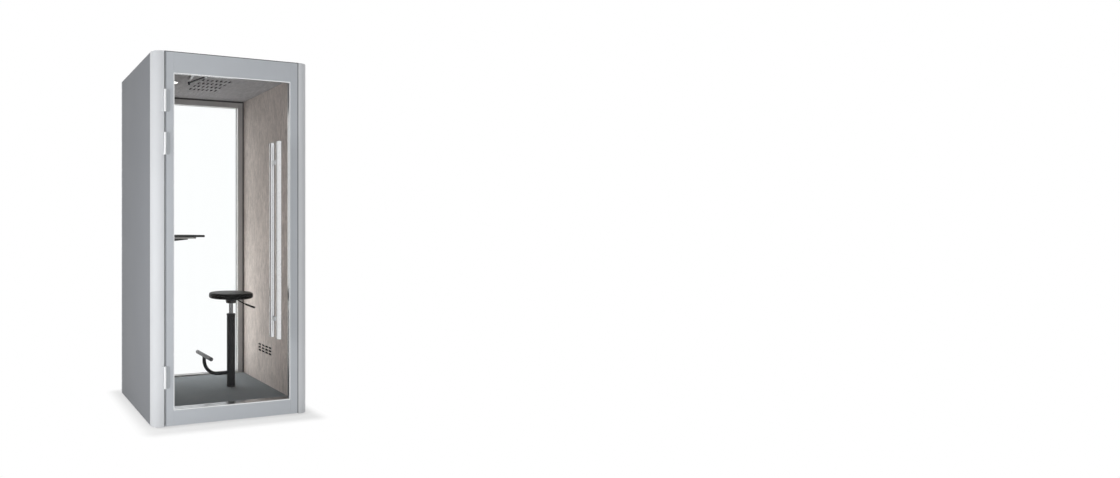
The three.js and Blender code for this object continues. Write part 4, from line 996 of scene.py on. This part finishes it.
def seat_section(radius, bottom, height, count=64):
    """Half section of the round pad: from the middle of a flat underside out to a full, rounded
    side and back over a crowned top. The side follows a superellipse; the crown is a cosine."""
    angle = np.linspace(-np.pi / 2, np.pi / 2, count)
    bulge = np.abs(np.cos(angle)) ** 0.42
    rise = np.sign(np.sin(angle)) * np.abs(np.sin(angle)) ** 0.75
    reach = radius * (0.80 + 0.20 * bulge)
    level = bottom + height * (0.46 + 0.46 * rise)
    crown_share = np.linspace(1, 0, 24)[1:]
    crown_reach = reach[-1] * crown_share
    crown = level[-1] + height * 0.08 * np.cos(crown_share * np.pi / 2) ** 1.3
    base_share = np.linspace(0, 1, 8)[:-1]
    base = np.stack([reach[0] * base_share, np.full(7, level[0])], -1)
    side = np.stack([reach, level], -1)
    top = np.stack([crown_reach, crown], -1)
    return np.concatenate([base, side, top])


seat_low, seat_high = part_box("stool_cushion")
seat_radius = float(seat_high[0] - seat_low[0]) / 2
pad_skin = finish_of("black_seat_cover", (18, 18, 19), 0.42, Specular_IOR_Level=0.2)
mottle(pad_skin, 0.0016, shade=0.14, gloss=0.1, relief=0.00016, cells=True)
mottle(pad_skin, 0.03, shade=0.06, gloss=0.06)
pad = mesh_object(
    "seat_pad",
    *turned(
        seat_section(seat_radius, float(seat_low[2]), float(seat_high[2] - seat_low[2])),
        stool_centre,
        steps=128,
    ),
    pad_skin,
    sharp=60,
)
fit_piece(pad, "stool_seat", "seat_pad", "stool_cushion")


# Release lever: a bent steel rod on a cross pin between the hub's lugs, with a moulded grip.
def bent_rod(path, radius, across, steps=24):
    """Round bar along a path that lies in one plane. At each point a ring of the given radius stands
    square to the path, spanned by the plane's normal and by that normal crossed with the path's
    direction; the ends close on the path."""
    path = np.asarray(path, float)
    radius = np.broadcast_to(np.asarray(radius, float), len(path))
    direction = np.gradient(path, axis=0)
    direction /= np.linalg.norm(direction, axis=1, keepdims=True)
    across = np.broadcast_to(np.asarray(across, float), path.shape)
    upward = np.cross(across, direction)
    path = np.concatenate([path[:1], path, path[-1:]])
    radius = np.concatenate([[0], radius, [0]])
    across = np.concatenate([across[:1], across, across[-1:]])
    upward = np.concatenate([upward[:1], upward, upward[-1:]])
    angle = np.linspace(0, 2 * np.pi, steps, endpoint=False)[None, :, None]
    ring = np.cos(angle) * across[:, None] + np.sin(angle) * upward[:, None]
    verts = path[:, None] + radius[:, None, None] * ring
    return verts.reshape(-1, 3), [grid_faces(len(path), steps, wrap=True)]


def blunt(count, radius, edge, spacing):
    """Radii along a bar of count evenly spaced points: full, but rounded off by edge at both ends."""
    place = np.arange(count) * spacing
    from_end = np.minimum(place, place[::-1])
    short = np.clip(1 - from_end / edge, 0, 1)
    return radius - edge * (1 - np.sqrt(1 - short**2))


def curve_through(start, pull, finish, count):
    """Quadratic curve from start to finish, drawn towards pull in between."""
    share = np.linspace(0, 1, count)[:, None]
    start, pull, finish = (np.asarray(p, float) for p in (start, pull, finish))
    return (1 - share) ** 2 * start + 2 * share * (1 - share) * pull + share**2 * finish


LEVER_PULL = np.array([0.036, 0, -0.030])
LEVER_END = np.array([0.132, 0, -0.063])
lever_path = curve_through(pivot, pivot + LEVER_PULL, pivot + LEVER_END, 60)
lever = mesh_object("lever_rod", *bent_rod(lever_path, 0.004, (0, 1, 0)), powder_black)
fit_piece(lever, "stool_release", "black_metal", "stool_lever")
grip_path = lever_path[34:]
grip_spacing = float(np.linalg.norm(np.diff(grip_path, axis=0), axis=1).mean())
grip_radius = blunt(len(grip_path), 0.0066, 0.003, grip_spacing)
grip = mesh_object("lever_grip", *bent_rod(grip_path, grip_radius, (0, 1, 0)), moulding_and_slot_shade)
fit_piece(grip, "stool_release", "black_plastic")
barrel_profile = rounded_rod(BARREL_RADIUS, -0.007, 0.007, 0.0006)
barrel = mesh_object("lever_barrel", *turned(barrel_profile, pivot, axis="y", steps=32), powder_black)
fit_piece(barrel, "stool_release", "black_metal")

# Footrest: a black tube that leaves the column level, sweeps up and carries a dark grey crossbar with
# rounded ends.
bar_low, bar_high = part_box("footrest_bar")
bar_radius = float(bar_high[0] - bar_low[0]) / 2
bar_x, bar_z = float(bar_low[0] + bar_high[0]) / 2, float(bar_low[2] + bar_high[2]) / 2
ARM_Z = 0.191
BEND_RADIUS = 0.095
BEND_ANGLE = math.radians(90)
bend_x = stool_middle[0] - 0.096
sweep = np.linspace(0, BEND_ANGLE, 24)
bend = np.stack(
    [bend_x - BEND_RADIUS * np.sin(sweep), ARM_Z + BEND_RADIUS * (1 - np.cos(sweep))], -1
)
level_run = np.stack(
    [np.linspace(stool_middle[0] - column_radius + 0.003, bend_x, 8)[:-1], np.full(7, ARM_Z)], -1
)
rise_share = np.linspace(0, 1, 10)[1:, None]
rise = bend[-1] + rise_share * (np.array([bar_x, bar_z]) - bend[-1])
arm_plane = np.concatenate([level_run, bend, rise])
arm_path = np.stack([arm_plane[:, 0], np.full(len(arm_plane), stool_middle[1]), arm_plane[:, 1]], -1)
arm = mesh_object("footrest_tube", *bent_rod(arm_path, 0.012, (0, 1, 0), 36), powder_black, sharp=50)
fit_piece(arm, "pod", "black_metal", "footrest_arm")
tube_grey = finish_of("grey_tube_coat", (84, 84, 86), 0.36)
mottle(tube_grey, 0.0007, shade=0.1, gloss=0.08, relief=0.00004)
bar_profile = rounded_rod(bar_radius, float(bar_low[1]), float(bar_high[1]), 0.004, 5)
bar = mesh_object(
    "footrest_crossbar", *turned(bar_profile, (bar_x, 0, bar_z), axis="y", steps=48), tube_grey
)
fit_piece(bar, "pod", "black_metal", "footrest_bar")

# Door leaf: hollow aluminium stiles and rails lacquered in a cooler grey round one glass pane, which
# is held by bright metal beads and linings. A soft seal runs round its inner face.
door_grey = finish_of("door_lacquer", (187, 191, 196), 0.4, 0.3, Coat_Weight=0.1, Coat_Roughness=0.3)
mottle(door_grey, 0.0006, shade=0.05, gloss=0.05)
mottle(door_grey, 0.012, gloss=0.03, relief=0.00004)
mottle(door_grey, 0.35, shade=0.02, gloss=0.03)
DOOR_FRAME = ("door_stile_hinge", "door_stile_lock", "door_rail_top", "door_rail_bottom")
wear_finish(door_grey, *DOOR_FRAME)
soften(0.0006, *DOOR_FRAME)
wear_finish(black_rubber, "door_seal")
glass_low, glass_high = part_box("door_glass")
opening_low = np.array([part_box("door_rail_top")[0][0] - 0.0003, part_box("door_rail_bottom")[1][2]])
opening_high = np.array([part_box("door_rail_top")[1][0] + 0.0003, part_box("door_rail_top")[0][2]])
bright_bead = finish_of("bright_bead", (236, 237, 238), 0.2, 1.0)
mottle(bright_bead, 0.0008, shade=0.04, gloss=0.05)
BEAD = 0.005
LINING = 0.0012
bead_front = float(glass_low[1]) - 0.0022
bead_back = float(glass_high[1]) + 0.0022
door_back = float(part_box("door_rail_top")[1][1])
for name, inset, front, back in (
    ("bead_front", BEAD, bead_front, float(glass_low[1]) - 0.0001),
    ("bead_rear", BEAD, float(glass_high[1]) + 0.0001, bead_back),
    ("lining_front", LINING, door_face + 0.0014, bead_front - 0.0001),
    ("lining_rear", LINING, bead_back + 0.0001, door_back - 0.0014),
):
    bead = mesh_object(
        f"glazing_{name}",
        *frame_ring(opening_low, opening_high, strip_section(0, inset, front, back)),
        bright_bead,
    )
    fit_piece(bead, "door", "door_profile")
# A darker grey band down the hinge stile, between the column and the glass, is painted shade
# beside the seam.
EDGE_BAND = 0.006
BAND_THICKNESS = 0.0002
stile_shade_grey = finish_of("hinge_stile_painted_shade", (156, 159, 164), 0.5, 0.1)
mottle(stile_shade_grey, 0.0008, shade=0.06, gloss=0.06)
stile_low, stile_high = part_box("door_stile_hinge")
band_low = (float(stile_low[0]) + 0.0003, door_face - BAND_THICKNESS)
band_high = (band_low[0] + EDGE_BAND, door_face + 0.0009)
band = mesh_object(
    "door_stile_shade_band",
    *prism(
        filleted(box_outline(band_low, band_high, 0, 1), 0.0001),
        float(stile_low[2]) + 0.0015,
        float(stile_high[2]) - 0.0015,
        edge=0.0001,
    ),
    stile_shade_grey,
)
fit_piece(band, "door", "door_profile")

# Door pull: a satin stainless tube on each side of the glass, on two posts that pass through it with
# a washer against each face.
stainless = finish_of("satin_stainless", (222, 223, 224), 0.28, 1.0)
mottle(stainless, 0.0005, shade=0.05, gloss=0.08, stretch=(1, 1, 40))
mottle(stainless, 0.2, gloss=0.03)
dull_steel = finish_of("dull_stainless", (222, 222, 224), 0.2, 1.0)
mottle(dull_steel, 0.0005, shade=0.05, gloss=0.06, stretch=(1, 1, 40))
for side, bar_steel in (("outer", stainless), ("inner", dull_steel)):
    low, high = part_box(f"pull_bar_{side}")
    middle = (float(low[0] + high[0]) / 2, float(low[1] + high[1]) / 2, 0)
    radius = float(high[0] - low[0]) / 2
    tube_profile = rounded_rod(radius, float(low[2]), float(high[2]), 0.0015)
    tube = mesh_object(f"pull_tube_{side}", *turned(tube_profile, middle), bar_steel)
    fit_piece(tube, "door", "stainless", f"pull_bar_{side}")
for place in ("upper", "lower"):
    low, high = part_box(f"pull_post_{place}")
    middle = (float(low[0] + high[0]) / 2, 0, float(low[2] + high[2]) / 2)
    radius = float(high[0] - low[0]) / 2
    reach_in = 0.004
    post_profile = rounded_rod(radius, float(low[1]) + reach_in / 2, float(high[1]) - reach_in / 2, 0.0005)
    post = mesh_object(f"pull_spacer_{place}", *turned(post_profile, middle, axis="y", steps=40), stainless)
    fit_piece(post, "door", "stainless", f"pull_post_{place}")
    for face, near, far in (
        ("front", glass_low[1] - 0.0045, glass_low[1] - 0.0002),
        ("rear", glass_high[1] + 0.0002, glass_high[1] + 0.0045),
    ):
        washer_profile = [
            (radius + 0.0002, near),
            (radius + 0.0038, near),
            (radius + 0.0045, near + 0.0007 * (1 if face == "front" else 0)),
            (radius + 0.0045, far - 0.0007 * (0 if face == "front" else 1)),
            (radius + 0.0038 + 0.0007 * (face == "front"), far),
            (radius + 0.0002, far),
        ]
        washer = mesh_object(
            f"pull_washer_{place}_{face}",
            *turned(washer_profile, middle, axis="y", steps=40, ring=True),
            stainless,
        )
        fit_piece(washer, "door", "stainless")

# Hinges: satin steel leaves screwed to column and door, with a barrel that stands in front of the
# seam. The column leaf holds the outer knuckles and the pin, the door leaf the middle knuckle.
hinge_steel = finish_of("hinge_steel", (236, 237, 238), 0.35, 0.15)
mottle(hinge_steel, 0.0005, shade=0.05, gloss=0.08, stretch=(1, 1, 20))
# Painted shade: the door leaves are a darker steel than the knuckles and the column leaves, for the shade on the door's
# side of the hinge.
hinge_leaf_painted_shade = finish_of("hinge_steel_shaded", (170, 174, 178), 0.36, 0.6)
mottle(hinge_leaf_painted_shade, 0.0005, shade=0.05, gloss=0.08, stretch=(1, 1, 20))
for level in ("low", "middle", "top"):
    column_low, column_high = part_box(f"hinge_{level}_column_leaf")
    leaf_low, leaf_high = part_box(f"hinge_{level}_door_leaf")
    barrel_radius = 0.007
    axis_x = float(column_high[0]) - barrel_radius
    axis_y = float(column_low[1]) + barrel_radius
    plate_back = float(column_high[1])
    plate_front = plate_back - 0.0025
    z0, z3 = float(column_low[2]), float(column_high[2])
    third = (z3 - z0 - 0.0006) / 3
    knuckles = [(z0, z0 + third), (z0 + third + 0.0003, z3 - third - 0.0003), (z3 - third, z3)]
    for name, body, hand, far_x, mat, held, node_name in (
        ("column", "pod", -1, float(column_low[0]), silver, (0, 2), f"hinge_{level}_column_leaf"),
        ("door", "door", 1, float(leaf_high[0]), hinge_leaf_painted_shade, (1,), f"hinge_{level}_door_leaf"),
    ):
        near_x = axis_x + hand * 0.0062
        leaf_corners = [
            (near_x, z0),
            (far_x - hand * 0.008, z0),
            (far_x, z0 + 0.008),
            (far_x, z3 - 0.008),
            (far_x - hand * 0.008, z3),
            (near_x, z3),
        ]
        leaf_outline = filleted(leaf_corners, [0.0006, 0.004, 0.004, 0.004, 0.004, 0.0006])
        leaf = mesh_object(
            f"hinge_leaf_{level}_{name}",
            *prism(leaf_outline, plate_front, plate_back, axis="y", edge=0.0006),
            mat,
        )
        fit_piece(leaf, body, "steel_fitting", node_name)
        for number in held:
            knuckle_low, knuckle_high = knuckles[number]
            knuckle_profile = rounded_rod(barrel_radius, knuckle_low, knuckle_high, 0.0006)
            knuckle = mesh_object(
                f"hinge_knuckle_{level}_{number}",
                *turned(knuckle_profile, (axis_x, axis_y, 0), steps=32),
                hinge_steel,
            )
            fit_piece(knuckle, body, "steel_fitting")
            tab_outline = filleted(
                [
                    (axis_x, knuckle_low + 0.0004),
                    (axis_x + hand * 0.008, knuckle_low + 0.0004),
                    (axis_x + hand * 0.008, knuckle_high - 0.0004),
                    (axis_x, knuckle_high - 0.0004),
                ],
                0.0003,
            )
            tab = mesh_object(
                f"hinge_tab_{level}_{number}",
                *prism(tab_outline, plate_front + 0.0001, plate_back - 0.0001, axis="y", edge=0.0003),
                mat,
            )
            fit_piece(tab, body, "steel_fitting")
        screw_x = (near_x + far_x) / 2
        for number, share in enumerate((0.18, 0.5, 0.82)):
            screw_profile = [
                (0, plate_front - 0.0003),
                (0.0013, plate_front - 0.0003),
                (0.0015, plate_front - 0.0011),
                (0.0026, plate_front - 0.0010),
                (0.0034, plate_front - 0.0004),
                (0.0036, plate_front + 0.0002),
                (0, plate_front + 0.0002),
            ]
            screw = mesh_object(
                f"hinge_screw_{level}_{name}_{number}",
                *turned(screw_profile, (screw_x, 0, z0 + share * (z3 - z0)), axis="y", steps=20),
                mat,
            )
            fit_piece(screw, body, "steel_fitting")


# Door closer: a body hidden in the header turns a main arm, drawn black. A tapered forearm, drawn in
# bright steel, lies above the main arm's elbow and ends on a shoe on the inner face of the top rail.
# The black and the bright are painted shade and painted light: one arm lies in shade, the other
# catches the light.
def link_outline(first, second, radii, waists, count=20):
    """Flat link in plan: a round eye at each end, joined by a bar that tapers from the first waist to
    the second."""
    first, second = np.asarray(first, float), np.asarray(second, float)
    along = (second - first) / np.linalg.norm(second - first)
    side = np.array([-along[1], along[0]])
    outline = []
    for centre, radius, waist, forward in (
        (second, radii[1], waists[1], 1),
        (first, radii[0], waists[0], -1),
    ):
        open_angle = math.asin(min(1.0, waist / 2 / radius))
        angle = np.linspace(-np.pi + open_angle, np.pi - open_angle, count)[:, None]
        outline.append(centre + radius * forward * (np.cos(angle) * along + np.sin(angle) * side))
    return np.concatenate(outline)


main_low, main_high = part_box("closer_main_arm")
door_inner = float(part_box("door_stile_lock")[1][1])
hinge_x = float(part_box("hinge_top_column_leaf")[1][0]) - 0.007
spindle = np.array([hinge_x + 0.2775, door_inner + 0.042])
elbow = np.array([hinge_x + 0.2275, door_inner + 0.228])
shoe_pin = np.array([hinge_x + 0.1985, door_inner + 0.022])
ARM_THICKNESS = 0.008
main_bottom = ceiling_z - 0.030
main_top = main_bottom + ARM_THICKNESS
fore_bottom = ceiling_z - 0.018
fore_top = fore_bottom + ARM_THICKNESS
# Painted shade: the main arm is drawn black.
main_arm = mesh_object(
    "closer_arm",
    *prism(
        link_outline(spindle, elbow, (0.012, 0.010), (0.014, 0.014)), main_bottom, main_top, edge=0.001
    ),
    powder_black,
)
fit_piece(main_arm, "closer_arm", "black_metal", "closer_main_arm")
spindle_profile = rounded_rod(0.009, main_bottom - 0.001, float(main_high[2]), 0.0008)
spindle_post = mesh_object("closer_spindle", *turned(spindle_profile, (*spindle, 0), steps=32), stainless)
fit_piece(spindle_post, "closer_arm", "steel_fitting")
knob_profile = rounded_rod(0.007, float(main_low[2]), main_bottom + 0.001, 0.0015)
knob = mesh_object("closer_elbow_cap", *turned(knob_profile, (*elbow, 0), steps=32), powder_black)
fit_piece(knob, "closer_arm", "black_metal")
# Painted light: the forearm is drawn in bright steel.
forearm = mesh_object(
    "closer_link",
    *prism(
        link_outline(shoe_pin, elbow, (0.010, 0.009), (0.018, 0.011)), fore_bottom, fore_top, edge=0.001
    ),
    hinge_steel,
)
fit_piece(forearm, "closer_link", "steel_fitting", "closer_forearm")
elbow_profile = rounded_rod(0.006, main_top + 0.0006, fore_top + 0.002, 0.0008)
elbow_pin = mesh_object("closer_elbow_pin", *turned(elbow_profile, (*elbow, 0), steps=32), stainless)
fit_piece(elbow_pin, "closer_link", "steel_fitting")
wear_finish(hinge_steel, "closer_shoe")
soften(0.0006, "closer_shoe")
